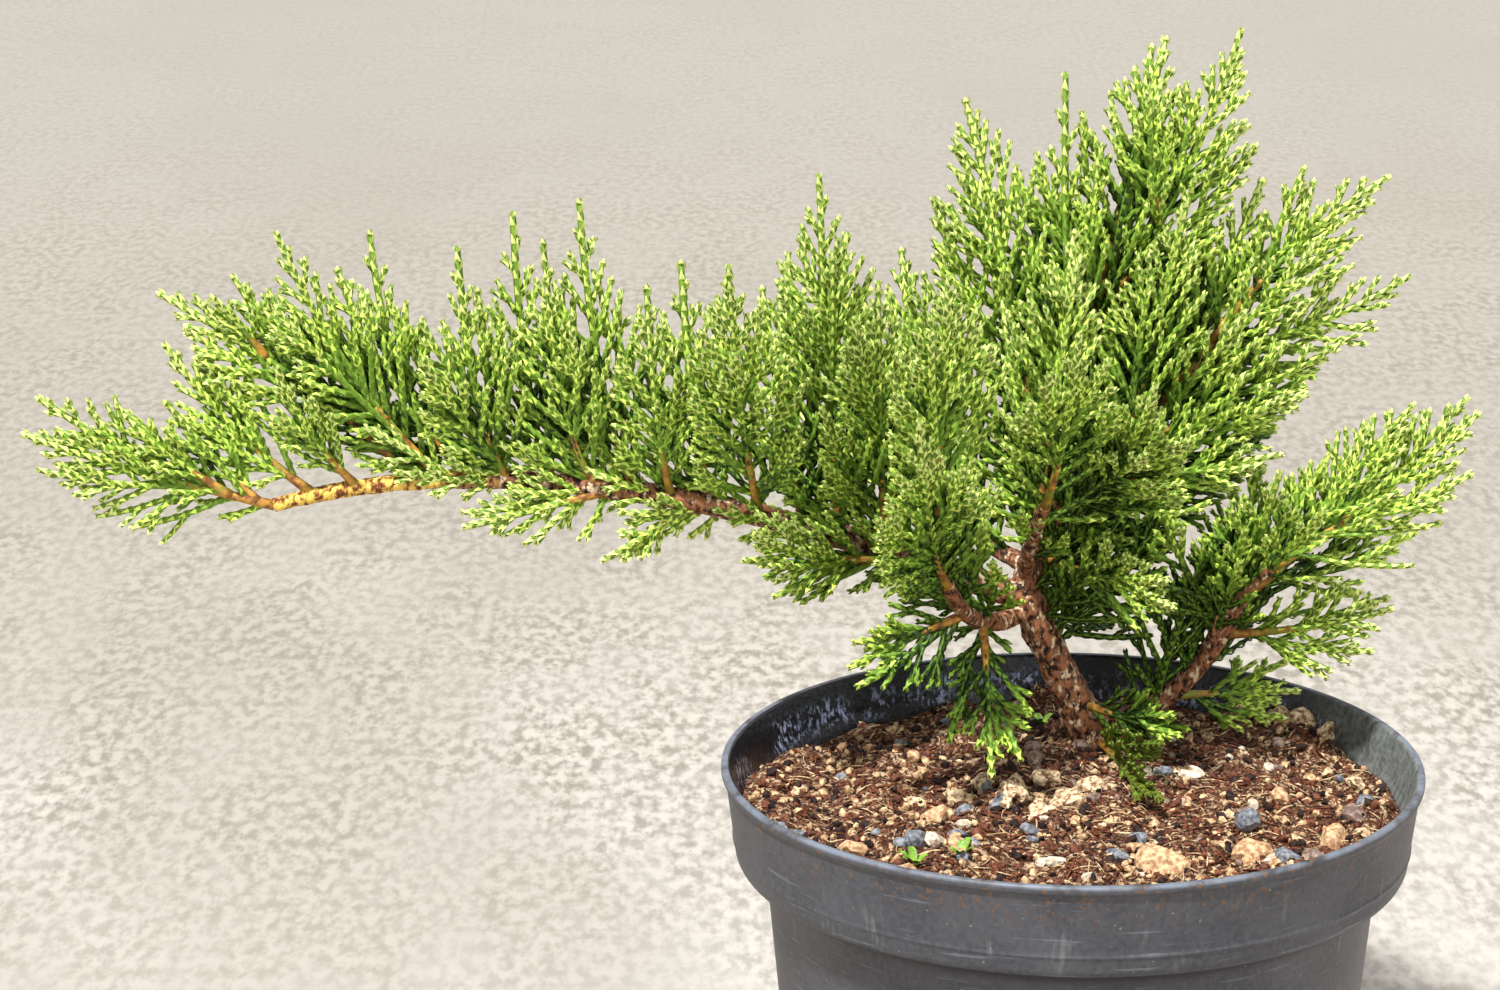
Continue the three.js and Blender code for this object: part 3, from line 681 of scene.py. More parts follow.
def seeded_random(seed):
    """The source's own stream of numbers from 0 to 1."""
    mask = 0xFFFFFFFF
    state = seed
    while True:
        state = (state + 0x6D2B79F5) & mask
        t = ((state ^ (state >> 15)) * (state | 1)) & mask
        t = ((t + (t ^ (t >> 7)) * (t | 61)) ^ t) & mask
        yield ((t ^ (t >> 14)) & mask) / 2**32


def soil_height(x, y, mounds):
    height = SOIL_LEVEL - SOIL_EDGE_FALL * (np.hypot(x, y) / POT_RIM_RADIUS) ** 4
    for mound_x, mound_y, rise, spread in mounds:
        height = height + rise * np.exp(-((x - mound_x) ** 2 + (y - mound_y) ** 2) / (2 * spread**2))
    return height


def plan_clods(limbs, sprays):
    """The clods as small mounds, as the source places them."""
    random = seeded_random(CLOD_SEED)
    edge = SOIL_RADIUS - SOIL_CLEARANCE
    marks = np.concatenate([limb_marks(limbs)] + [spray["samples"] for spray in sprays])
    clods = []
    for share, every, first in CLOD_RINGS:
        for corner in range(first, CLOD_CORNERS, every):
            angle = TURN * corner / CLOD_CORNERS
            x, y = edge * share * math.cos(angle), edge * share * math.sin(angle)
            rise = mix(*CLOD_RISE, next(random))
            top = np.array([x, y, soil_height(x, y, SOIL_MOUNDS) + rise])
            near_seat = math.hypot(x - SEAT[0], y - SEAT[1]) < SEAT_RADIUS + 2 * CLOD_SPREAD
            if not near_seat and np.linalg.norm(marks - top, axis=1).min() >= CLOD_FROM_STEMS:
                clods.append((x, y, rise, CLOD_SPREAD))
    return clods


def inside_radius(z):
    """The pot's inside radius at a height."""
    return np.interp(z, *zip(*INSIDE_WALL))


SOIL_RADIUS = float(inside_radius(SOIL_LEVEL))


def box_in_millimetres(box):
    return np.array([list(corner) for corner in box]) / MM


def inside_box(points, box, past):
    return ((points > box[0] - past) & (points < box[1] + past)).all(axis=1)


class Space:
    """Says where a spray's foliage may grow: nearest to its own stems, and clear of everything else."""

    def __init__(self, limbs, sprays):
        shares = np.linspace(0, 1, LIMB_SAMPLES + 1)
        self.limb_points = limb_marks(limbs)
        self.limb_radii = np.concatenate([limb_radius(name, limb, shares) for name, limb in limbs.items()])
        self.limb_names = np.repeat(np.array(list(limbs)), LIMB_SAMPLES + 1)
        self.samples = np.concatenate([spray["samples"] for spray in sprays])
        self.owner = np.repeat(np.arange(len(sprays)), [len(spray["samples"]) for spray in sprays])
        self.boxes = [box_in_millimetres(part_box(f"spray_{spray['name']}")) for spray in sprays]
        self.part_box = box_in_millimetres(CAD_BOX)

    @staticmethod
    def distances(points, marks):
        square = (points**2).sum(1)[:, None] + (marks**2).sum(1)[None] - 2 * points @ marks.T
        return np.sqrt(np.maximum(square, 0))

    def is_free(self, points, index, limb=None):
        """index is the spray that grows there, and limb the one whose own twigs do."""
        free = inside_box(points, self.part_box, PAST_PART_BOX - CORD_RADIUS)
        if index is not None:
            free &= inside_box(points, self.boxes[index], PAST_OWN_BOX)
            far = self.distances(points, self.samples)
            own = far[:, self.owner == index].min(1)
            other = far[:, self.owner != index].min(1)
            free &= other > own - SPACE_OVERLAP
        others = self.limb_names != limb
        gap = self.distances(points, self.limb_points[others]) - self.limb_radii[others]
        free &= gap.min(1) > CORD_RADIUS
        low = points[:, 2] < POT_HEIGHT
        ground = soil_height(points[low, 0], points[low, 1], MOUNDS)
        free[low] &= points[low, 2] > ground + CORD_RADIUS
        wall = inside_radius(np.minimum(points[:, 2], POT_HEIGHT)) - CORD_RADIUS
        return free & ((points[:, 2] > POT_HEIGHT + CORD_RADIUS) | (np.hypot(*points[:, :2].T) < wall))


class Habit(NamedTuple):
    """How side growth of one kind bends and how short it may be.

    Flat growth stands in two rows, in a fan that is turned by up to fan_turn from the viewer. Other
    growth stands all round, but less so in front and behind, by the shares front and back.
    """

    shortest: float
    turn_in: float
    turn_up: float = 0.18
    flat: bool = False
    fan_turn: float = 0.3
    front: float = 1
    back: float = 1


LEADER = Habit(shortest=9, turn_in=1.2, turn_up=0.25, front=0.2, back=0.8)
LIMB_LEADER = Habit(shortest=9, turn_in=0.6, turn_up=0.25, front=0.5, back=0.8)
STEM_TWIG = Habit(shortest=3.5, turn_in=0.35, flat=True, fan_turn=0.35)
ROW_TWIG = Habit(shortest=3, turn_in=0.3, flat=True, fan_turn=0.4)
SHOOT = Habit(shortest=2.6, turn_in=0.3, flat=True)


def grow(parents, shares, angles, turns, lengths, habit, space, owner):
    """Side growth on parent curves, cut back to what is free. Gives the curves and which were kept."""
    along = curve_tangents(parents, shares[:, None])[:, 0]
    start = curve_points(parents, shares[:, None])[:, 0]
    first = unit(np.cross(along, FACING))
    forward = np.sin(turns)
    forward *= np.where(forward > 0, habit.front, habit.back)
    across = first * np.cos(turns)[:, None] + np.cross(along, first) * forward[:, None]
    out = along * np.cos(angles)[:, None] + across * np.sin(angles)[:, None]
    later = unit(out + along * habit.turn_in + np.array([0, 0, habit.turn_up]))
    pull = start + out * lengths[:, None] / 2
    full = np.stack([start, pull, pull + later * lengths[:, None] / 2], 1)
    trial = curve_points(full, np.tile(TRIED_SHARES, (len(full), 1)))
    free = space.is_free(trial.reshape(-1, 3), *owner).reshape(len(full), len(TRIED_SHARES))
    run = np.cumprod(free, axis=1).sum(axis=1)
    reach = np.concatenate([[0], TRIED_SHARES])[run]
    kept = lengths * reach >= habit.shortest
    cut = reach[:, None]
    ends = curve_points(full, cut)[:, 0]
    curves = np.stack([start, start + (pull - start) * cut, ends], 1)
    return curves[kept], kept


def outline_at(share):
    """The longest twig at a share of the stem: wide low down, and narrow towards the tip."""
    swell = np.minimum(1, share / WIDEST_AT) ** WIDEN_POWER
    return swell * (1 - share) ** NARROW_POWER * WIDEST + LEAST_WIDTH


def either_way(random, count, most):
    """Random values from -most to most."""
    return most * (random.random(count) - 0.5) * 2


def spread_along(parents, step, span, habit, random):
    """Places for side growth: the parent of each, its share there, and its turn about it."""
    first, last = span
    counts = np.maximum((curve_lengths(parents) * (last - first) / step).round().astype(int), 1)
    parent, order = numbered(counts)
    shares = mix(first, last, (order + 0.5 * random.random(len(parent))) / counts[parent])
    if habit.flat:
        fan = either_way(random, len(parents), habit.fan_turn)[parent]
        turns = fan + order % 2 * math.pi + either_way(random, len(parent), ROW_TWIST)
    else:
        turns = random.random(len(parents))[parent] * TURN + order * GOLDEN
    return parent, shares, turns


def jitter(random, count):
    return 1 + either_way(random, count, JITTER)


def grow_leaders(stems, widths, random, space, owner):
    """Lesser upright stems beside the spray's own, with their widths."""
    parent, shares, turns = spread_along(stems, LEADER_STEP, LEADER_SPAN, LEADER, random)
    angles = np.radians(LEADER_ANGLE) * jitter(random, len(shares))
    lengths = LEADER_REACH * curve_lengths(stems)[parent] * (1 - shares) * jitter(random, len(shares))
    leaders, kept = grow(stems[parent], shares, angles, turns, lengths, LEADER, space, owner)
    return leaders, LEADER_WIDTH * widths[parent][kept]


def grow_twigs(parents, widths, habit, random, space, owner):
    parent, shares, turns = spread_along(parents, ROW_STEP, TWIG_SPAN, habit, random)
    angles = np.radians(mix(*TWIG_ANGLE, shares)) * jitter(random, len(shares))
    lengths = TWIG_REACH * widths[parent] * outline_at(shares) * jitter(random, len(shares))
    lengths = np.minimum(lengths, TWIG_TAPER * curve_lengths(parents)[parent] * (1 - shares))
    return grow(parents[parent], shares, angles, turns, lengths, habit, space, owner)[0]


def grow_shoots(twigs, random, space, owner):
    parent, shares, turns = spread_along(twigs, SHOOT_STEP, SHOOT_SPAN, SHOOT, random)
    length = curve_lengths(twigs)[parent]
    wanted = length * np.minimum(SHOOT_SHARE, (1 - shares) * SHOOT_TAPER) * jitter(random, len(shares))
    angles = np.radians(SHOOT_ANGLE) * jitter(random, len(shares))
    return grow(twigs[parent], shares, angles, turns, wanted, SHOOT, space, owner)[0]


def grow_on_limb(growth, limbs, seed, space):
    """Leaders with their twigs and shoots that grow straight from a limb, on one side of it."""
    random = np.random.default_rng(seed)
    name, span, step, length, width, angle, side = growth
    owner = (None, name)
    curve = limbs[name]["curve"][None]
    parent, shares, turns = spread_along(curve, step, span, LEADER, random)
    angles = np.radians(angle) * jitter(random, len(shares))
    lengths = length * jitter(random, len(shares))
    leaders, _ = grow(curve[parent], shares, angles, turns, lengths, LIMB_LEADER, space, owner)
    ways = unit(leaders[:, 1] - leaders[:, 0])
    leaders = leaders[ways @ unit(np.array(side, float)) > LEAST_TO_SIDE]
    widths = np.full(len(leaders), float(width))
    twigs = grow_twigs(leaders, widths, ROW_TWIG, random, space, owner)
    return [np.empty((0, 3, 3)), leaders, twigs, grow_shoots(twigs, random, space, owner)]


def grow_spray(index, spray, space):
    """The curves of all of a spray's stems, leaders, twigs and shoots."""
    random = np.random.default_rng(SEED + index)
    owner = (index,)
    stems, widths = spray["stems"], spray["widths"]
    leaders, leader_widths = grow_leaders(stems, widths, random, space, owner)
    on_stems = grow_twigs(stems, widths, STEM_TWIG, random, space, owner)
    on_leaders = grow_twigs(leaders, leader_widths, ROW_TWIG, random, space, owner)
    twigs = np.concatenate([on_stems, on_leaders])
    return [stems, leaders, twigs, grow_shoots(twigs, random, space, owner)]


# Shoots and their leaves


def rods(curves, shares, radii, sides):
    """Tubes along curves, closed at both ends. shares and radii are (n, rings)."""
    count, steps = radii.shape
    points, _, side, other = curve_frames(curves, shares)
    tube = points[:, :, None] + ways_round(side, other, sides) * radii[:, :, None, None]
    ends = curve_points(curves, np.tile([0.0, 1.0], (count, 1)))
    points = np.concatenate([tube.reshape(count, -1, 3), ends], 1)
    faces = capped_grid(steps, sides) + np.arange(count)[:, None, None] * points.shape[1]
    return points.reshape(-1, 3), faces.reshape(-1, 3)


def scale_leaves(curves, lengths, first_turn, starts, thickness):
    """Pairs of scale leaves along shoots, their distance from the shoot's tip, and whose they are."""
    counts = np.maximum(((lengths * (1 - starts)) / PAIR_STEP).round().astype(int), 2)
    owner, order = numbered(counts)
    shares = mix(starts[owner], 1 - LAST_PAIR / lengths[owner], order / (counts[owner] - 1))
    point, along, side, other = (part[:, 0] for part in curve_frames(curves[owner], shares[:, None]))
    from_tip = (1 - shares) * lengths[owner]
    full = thickness[owner] * np.minimum(1, mix(END_THICKNESS, 1, from_tip / END_LENGTH))
    length = np.minimum(LEAF_LENGTH * thickness[owner], from_tip + PAST_END)
    close = np.clip((from_tip - CLOSED_AT) / CLOSE_LENGTH, CLOSED_SHARE, 1)
    foot = CORE_RADIUS * LEAF_FOOT * full[:, None]
    leaves = []
    for half in (0, math.pi):
        angle = first_turn[owner] + order * math.pi / 2 + half
        out = side * np.cos(angle)[:, None] + other * np.sin(angle)[:, None]
        low = out * math.cos(LEAF_HALF_WIDTH) * foot
        wide = np.cross(along, out) * math.sin(LEAF_HALF_WIDTH) * foot
        keel = point + along / 2 * length[:, None] + out * LEAF_KEEL_RADIUS * full[:, None]
        tip = point + along * length[:, None] + out * (LEAF_TIP_RADIUS * full * close)[:, None]
        leaves.append(np.stack([point + low - wide, point + low + wide, keel, tip], 1))
    return np.concatenate(leaves), np.tile(from_tip, 2), np.tile(owner, 2)


def make_cores(curves, radii, nodes):
    """The slim green cores that the scale leaves stand on, each with a blunt tip."""
    material = foliage_material("foliage_core", CORE_GREEN)
    lengths = curve_lengths(curves)
    for name, (least, most, rings) in CORE_KINDS.items():
        chosen = (lengths >= least) & (lengths < most)
        last = 1 - CORE_TIP / lengths[chosen]
        shares = mix(CORE_START, last[:, None], np.linspace(0, 1, rings))
        taper = np.append(np.ones(rings - 1), CORE_TIP_SHARE)
        points, faces = rods(curves[chosen], shares, radii[chosen, None] * taper, 3)
        add_piece(f"shoots_{name}", points, faces, [material], nodes, True)


def with_neighbours(counts):
    """Each cell's count with those of the cells all round it."""
    for axis in (0, 1, 2):
        counts = sum(np.roll(counts, step, axis) for step in (-1, 0, 1))
    return counts


def crowding(points):
    """How much foliage stands round each point, and above and before it, each from 0 to 1."""
    margin = COVER_STEPS[-1] + 1
    cell = ((points - points.min(axis=0)) / CROWD_CELL).astype(int) + margin
    near = np.zeros(cell.max(axis=0) + margin + 1)
    np.add.at(near, tuple(cell.T), 1)
    near = with_neighbours(near)
    over = sum(np.roll(near, (step, -step // 2), (1, 2)) for step in COVER_STEPS)
    found = [count[tuple(cell.T)] for count in (with_neighbours(near), over)]
    return [np.clip(each / np.percentile(each, CROWDED_PERCENT), 0, 1) for each in found]


def under_crown(points):
    """1 for the shaded sprigs round the trunk under the crown, and 0 elsewhere."""
    low = np.clip((SHADE_BELOW - points[:, 2]) / SHADE_EDGE, 0, 1)
    return low * np.clip((SHADE_LEFT_OF - points[:, 0]) / SHADE_EDGE, 0, 1)


def dress(levels, reach, seed):
    """The leaves of one spray's or one limb's growth, how light each is, and the cores under them."""
    curves = np.concatenate(levels)
    orders = np.repeat(np.arange(len(levels)), [len(level) for level in levels])
    lengths = curve_lengths(curves)
    random = np.random.default_rng(seed)
    first_turn = random.random(len(curves)) * TURN
    thickness = np.array(THICKNESS)[orders] * mix(*THICKNESS_RANGE, random.random(len(curves)))
    starts = np.where(orders == 0, BARE_STEM, BARE_TWIG)
    leaves, from_tip, owner = scale_leaves(curves, lengths, first_turn, starts, thickness)
    depth = np.linalg.norm(leaves[:, 0] - curves[0, 0], axis=1)
    lightness = LIGHT_NEAR_TIP * np.exp(-from_tip / TIP_LENGTH)
    lightness += LIGHT_FAR_OUT * np.clip(depth / reach, 0, FARTHEST)
    lightness += LIGHT_BY_CHANCE * (random.random(len(curves)) - 0.5)[owner]
    return leaves, lightness, curves, CORE_RADIUS * thickness


def make_foliage(limbs, sprays):
    space = Space(limbs, sprays)
    names = [spray["name"] for spray in sprays]
    nodes = [f"spray_{name}" for name in names]
    grown = [grow_spray(i, spray, space) for i, spray in enumerate(sprays)]
    reaches = [np.linalg.norm(stems[0, 2] - stems[0, 0]) for stems, *_ in grown]
    grown += [grow_on_limb(growth, limbs, i, space) for i, growth in enumerate(LIMB_GROWTH)]
    reaches += [LIMB_GROWTH_REACH] * len(LIMB_GROWTH)
    dressed = [dress(levels, reaches[i], SEED * 2 + i) for i, levels in enumerate(grown)]
    curves, radii = (np.concatenate([part[k] for part in dressed]) for k in (2, 3))
    fallen_leaves = dressed.pop(names.index("fallen_sprig"))[0]
    leaves, lightness = (np.concatenate([part[k] for part in dressed]) for k in (0, 1))
    # Painted light and shade: leaves get lighter greens with room round them and nothing above and before
    # them, and darker ones under the crown.
    near, over = crowding(leaves[:, 0])
    lightness += PAINTED_LIGHT_WITH_ROOM * (1 - near) + PAINTED_LIGHT_WHEN_OPEN * (1 - over) - LIGHT_LOST
    lightness -= PAINTED_SHADE_UNDER_CROWN * under_crown(leaves[:, 0])
    tone = np.digitize(-lightness, -np.array(TONE_STEPS))
    for number, (name, green) in enumerate(GREENS.items()):
        material = foliage_material(f"foliage_{name}", green)
        add_shapes(f"leaves_{name}", leaves[tone == number], LEAF_FACES, material, nodes, True)
    fallen = foliage_material("foliage_fallen", FALLEN_GREEN)
    add_shapes("leaves_fallen", fallen_leaves, LEAF_FACES, fallen, nodes)
    make_cores(curves, radii, nodes)
    stems = first_part(np.concatenate([levels[0] for levels in grown]), WOODY_SHARE)
    shares = np.tile(np.linspace(0, 1, WOODY_RINGS), (len(stems), 1))
    points, faces = rods(stems, shares, mix(*WOODY_RADIUS, shares), WOODY_SIDES)
    add_piece("stems", points, faces, [stem_wood_material()], nodes, True)


# Bark


def bark_tube(name, limb):
    """A limb's bark: ridges and loose flakes along it, and a collar where it leaves its parent."""
    sides = BARK_SIDES[limb["radius"][0] > THICK_LIMB]
    shares = np.linspace(0, 1, int(limb["length"] / BARK_STEP) + 1)
    points, _, side, other = (part[0] for part in curve_frames(limb["curve"][None], shares[None]))
    away = shares * limb["length"]
    radius = limb_radius(name, limb, shares)
    if name != "trunk":
        radius = radius * (1 + COLLAR_RISE * np.exp(-away / COLLAR_LENGTH))
    ring = circle(BARK_AROUND, sides)
    place = np.column_stack([np.repeat(away / BARK_ALONG, sides), np.tile(ring, (len(away), 1))])
    relief = sum(
        rise * np.maximum(smooth_noise(place * (shorter, 1, 1), width, len(name) + seed), lowest)
        for rise, shorter, width, lowest, seed in BARK_RELIEF
    )
    reach = radius[:, None] * (1 + relief.reshape(len(shares), sides))
    tube = points[:, None] + ways_round(side, other, sides) * reach[..., None]
    return np.concatenate([tube.reshape(-1, 3), points[[0, -1]]]), capped_grid(len(shares), sides)


def make_bark(limbs):
    points, faces = joined([bark_tube(name, limb) for name, limb in limbs.items()])
    add_piece("bark", points, faces, [bark_material()], list(limbs), True)


# Pot


def rounded(profile):
    """The profile with each corner that has room rounded off."""
    result = [profile[0]]
    for before, corner, after in zip(profile, profile[1:], profile[2:]):
        corner = np.array(corner, float)
        ends = []
        for end in (before, after):
            length = np.linalg.norm(end - corner)
            ends.append(corner + (end - corner) / length * min(CORNER_RADIUS, length * CORNER_SHARE))
        curve = np.stack([ends[0], corner, ends[1]])
        result += list(points_on(curve, np.linspace(0, 1, CORNER_STEPS)))
    return result + [profile[-1]]


def drain_centres():
    return circle(DRAIN_CIRCLE_RADIUS, DRAIN_HOLES, first=0.5)


def drilled_disc(radius, z, upward):
    """A flat disc of the pot's floor with the drain holes left open."""
    rings = [circle(radius, POT_SIDES)]
    rings += [circle(DRAIN_HOLE_RADIUS, DRAIN_SIDES, centre) for centre in drain_centres()]
    edges, start = [], 0
    for ring in rings:
        edges += [(start + i, start + (i + 1) % len(ring)) for i in range(len(ring))]
        start += len(ring)
    outline = [Vector(point) for point in np.concatenate(rings)]
    points, _, faces, *_ = delaunay_2d_cdt(outline, edges, [], 0, 1e-6)
    points = np.array([list(point) for point in points])
    faces = np.array([list(face) for face in faces])
    middles = points[faces].mean(axis=1)
    from_holes = np.linalg.norm(middles[:, None] - drain_centres()[None], axis=2).min(axis=1)
    faces = faces[from_holes > DRAIN_HOLE_RADIUS]
    one, two = points[faces[:, 1]] - points[faces[:, 0]], points[faces[:, 2]] - points[faces[:, 0]]
    faces_up = one[:, 0] * two[:, 1] - one[:, 1] * two[:, 0] > 0
    faces = np.where((faces_up == upward)[:, None], faces, faces[:, ::-1])
    return at_height(points, z), faces


def hole_walls():
    walls = []
    for centre in drain_centres():
        rings = [at_height(circle(DRAIN_HOLE_RADIUS, DRAIN_SIDES, centre), z) for z in (POT_FLOOR, 0)]
        walls.append((np.concatenate(rings), grid_triangles(2, DRAIN_SIDES)))
    return walls


def make_pot():
    slope = (POT_BAND_TOP_RADIUS - POT_BAND_FOOT_RADIUS) / POT_BAND_DEPTH
    bead = [(-BEAD_HALF, 0), (0, BEAD_RISE), (BEAD_HALF, 0)]
    outside = [
        (0, 0),
        (POT_FOOT_RADIUS, 0),
        (POT_BODY_TOP_RADIUS, BAND_FOOT - 1),
        (POT_BAND_FOOT_RADIUS - 1, BAND_FOOT - 1),
        (POT_BAND_FOOT_RADIUS, BAND_FOOT + 0.6),
        *[(POT_BAND_FOOT_RADIUS + slope * (BEAD_HEIGHT + up) + out, BAND_FOOT + BEAD_HEIGHT + up)
          for up, out in bead],
        (POT_BAND_TOP_RADIUS, POT_HEIGHT - POT_LIP_HEIGHT),
        (POT_RIM_RADIUS, POT_HEIGHT - POT_LIP_HEIGHT + 0.6),
        (POT_RIM_RADIUS, POT_HEIGHT),
    ]
    inside = [(radius, z) for z, radius in reversed(INSIDE_WALL)]
    rings = rounded(outside + inside + [(0, POT_FLOOR)])[1:-1]
    shell = np.concatenate([at_height(circle(radius, POT_SIDES), z) for radius, z in rings])
    floor = [drilled_disc(rings[0][0], 0, False), drilled_disc(rings[-1][0], POT_FLOOR, True)]
    points, faces = joined([(shell, grid_triangles(len(rings), POT_SIDES)), *floor, *hole_walls()])
    centres = points[faces].mean(axis=1)
    radius = np.hypot(centres[:, 0], centres[:, 1])
    inner = (radius < inside_radius(centres[:, 2]) + INSIDE_MARGIN) & (centres[:, 2] > POT_FLOOR / 2)
    materials = [pot_material(), pot_inside_material()]
    add_piece("pot_shell", points, faces, materials, ["pot"], True, inner.astype(int))


# Soil and what lies on it


def lump(level):
    """A ball's points and triangles."""
    ball = bmesh.new()
    bmesh.ops.create_icosphere(ball, subdivisions=level, radius=1)
    points = np.array([v.co[:] for v in ball.verts])
    faces = np.array([[v.index for v in face.verts] for face in ball.faces])
    ball.free()
    return points, faces


def turns_of(random, count, tilt):
    """Rotation matrices: any turn about the vertical after a tilt of up to the given angle."""
    spin, lean, way = (random.random(count) * a for a in (TURN, tilt, TURN))
    matrices = []
    for turned, tilted, about in zip(spin, lean, at_height(directions(way), 0)):
        matrix = Matrix.Rotation(tilted, 3, Vector(about)) @ Matrix.Rotation(turned, 3, "Z")
        matrices.append(np.array(matrix))
    return np.array(matrices)


def on_soil(places, rise=0):
    """Points that stand over the soil, with its crumbs and clods, at flat places."""
    flat = at_height(places, 0)
    relief = sum(height * smooth_noise(flat, size, seed) for height, size, seed in SOIL_RELIEF)
    x, y = places.T
    calm = np.clip(np.hypot(x - SEAT[0], y - SEAT[1]) / CALM_RADIUS, CALM_SHARE, 1)
    near_pot = np.clip((SOIL_RADIUS - np.hypot(x, y)) / CALM_EDGE, 0, 1)
    return at_height(places, soil_height(x, y, MOUNDS) + relief * near_pot * calm + rise)


def make_soil():
    ring = circle(1, SOIL_SIDES)
    low = POT_FLOOR + SOIL_CLEARANCE
    heights = (low, INSIDE_WALL[1][0], INSIDE_WALL[2][0], SOIL_LEVEL - SOIL_SHOULDER)
    rings = [at_height(ring * (inside_radius(z) - SOIL_CLEARANCE), z) for z in heights]
    edge = SOIL_RADIUS - SOIL_CLEARANCE
    rings += [on_soil(ring * edge * share) for share in np.linspace(1, INNERMOST_RING, SOIL_RINGS)]
    points = np.concatenate(rings + [[[0, 0, low]], on_soil(np.zeros((1, 2)))])
    faces = capped_grid(len(rings), SOIL_SIDES)
    add_piece("soil_bed", points, faces, [soil_material()], ["soil"], True)


def places_on_soil(random, count, limit, forward=0):
    """Places on the soil, denser towards the front by the given share."""
    found = []
    edge = SOIL_RADIUS * limit
    while len(found) < count:
        x, y = (random.random(2) * 2 - 1) * edge
        if math.hypot(x, y) < edge and random.random() > forward * (y / edge + 1) / 2:
            found.append((x, y))
    return np.array(found)


class Lumps(NamedTuple):
    """A kind of stone or crumb. boxy is 1 for round ones and less for squarer ones."""

    finer: int
    sizes: tuple
    rough: float
    sunk: float
    tilt: float
    boxy: float = 1
    flatness: float = 0.66
    forward: float = 0


PEBBLE = Lumps(2, (2.2, 7), rough=0.32, sunk=0.38, tilt=0.9, boxy=0.8, forward=0.7)
LUMP = Lumps(3, (2.5, 6), rough=0.8, sunk=0.42, tilt=0.7, flatness=0.62)
CRUMB = Lumps(1, (0.7, 3.2), rough=0.5, sunk=0.25, tilt=3, boxy=0.9)


def scatter(name, kind, count, seed, material, placed=()):
    """Stones or crumbs that lie on the soil, each a ball of its own shape, partly sunk in."""
    random = np.random.default_rng(seed)
    ball, faces = lump(kind.finer)
    ball = np.sign(ball) * np.abs(ball) ** kind.boxy
    places = places_on_soil(random, count, STREWN_TO, kind.forward)
    size = mix(*kind.sizes, random.random(count) ** MOSTLY_SMALL)
    for i, (x, y, across) in enumerate(placed):
        places[i], size[i] = (x, y), across
    stretch = np.stack([mix(*ends, random.random(count)) for ends in STRETCHES], -1)
    bumps = np.stack([smooth_noise(ball + i * NEXT_SHAPE, BUMP_WIDTH, seed) for i in range(count)])
    body = ball * (size / 2)[:, None, None] * (1 + kind.rough * bumps)[..., None]
    body = body * (stretch * (1, 1, kind.flatness))[:, None]
    body = np.einsum("nij,nkj->nki", turns_of(random, count, kind.tilt), body)
    body = body + on_soil(places, size * kind.flatness * (0.5 - kind.sunk))[:, None]
    add_shapes(name, body, faces, material, [])


def scatter_fibres(name, count, lengths, radius, seed, material):
    """Thin bent fibres that lie on the soil."""
    random = np.random.default_rng(seed)
    places = places_on_soil(random, count, FIBRES_TO)
    way = random.random(count) * TURN
    length = mix(*lengths, random.random(count) ** 2)
    half = directions(way) * length[:, None] / 2
    bend = half[:, ::-1] * (-1, 1) * (random.random((count, 1)) - 0.5)
    corners = []
    for spot, lift in ((places - half, 0), (places + bend, FIBRE_LIFT), (places + half, 0)):
        far = np.maximum(np.hypot(*spot.T), 1)
        spot = spot * np.minimum(1, (SOIL_RADIUS - FIBRE_FROM_POT) / far)[:, None]
        corners.append(on_soil(spot, FIBRE_FROM_SOIL + random.random(count) * FIBRE_LIFT + lift))
    radii = radius * mix(*FIBRE_RANGE, random.random((count, 1))) * FIBRE_TAPER
    points, faces = rods(np.stack(corners, 1), np.tile(FIBRE_RINGS, (count, 1)), radii, 3)
    add_piece(name, points, faces, [material], [], True)


def make_soil_cover():
    for i, (name, (light, dark, count, placed)) in enumerate(STONES.items()):
        material = stone_material(f"stone_{name}", light, dark)
        scatter(f"pebbles_{name}", PEBBLE, count, STONE_SEED + i, material, placed)
    for i, (name, (light, dark, count)) in enumerate(CRUMBS.items()):
        material = stone_material(f"crumb_{name}", light, dark)
        scatter(f"crumbs_{name}", CRUMB, count, CRUMB_SEED + i, material)
    scatter("peat_lumps", LUMP, PEAT_COUNT, LUMP_SEED, stone_material("peat_lump", *PEAT_TONES), PEAT_LUMPS)
    for i, (name, (light, dark, count, lengths, radius)) in enumerate(FIBRES.items()):
        material = stone_material(f"fibre_{name}", light, dark)
        scatter_fibres(f"fibres_{name}", count, lengths, radius, FIBRE_SEED + i, material)


def make_seedlings():
    """Tufts of small green leaves that come up out of the soil."""
    random = np.random.default_rng(SEEDLING_SEED)
    shares = np.linspace(0, 1, 6)
    half_width = SEEDLING_LEAF * SEEDLING_WIDTH * np.sin(math.pi * (0.08 + 0.9 * shares))
    fold = at_height(np.zeros((len(shares), 2)), SEEDLING_FOLD * half_width)
    rise = SEEDLING_RISE * np.sin(shares * SEEDLING_CURL)
    leaves = []
    for place in SEEDLINGS:
        foot = on_soil(np.array([place]), -SEEDLING_SUNK)
        for i in range(SEEDLING_LEAVES):
            turn = TURN * i / SEEDLING_LEAVES + random.random()
            length = SEEDLING_LEAF * mix(*SEEDLING_RANGE, random.random())
            out = directions(turn)
            spine = foot + length * at_height(out * shares[:, None], rise)
            wide = np.array([-out[1], out[0], 0]) * half_width[:, None]
            leaves.append(np.stack([spine - wide + fold, spine, spine + wide + fold], 1).reshape(-1, 3))
    corners = [row * 3 + column for row in range(5) for column in range(2)]
    faces = np.array([face for a in corners for face in ((a, a + 1, a + 4), (a, a + 4, a + 3))])
    add_shapes("seedlings", np.array(leaves), faces, seedling_material(), [], True)


# Materials


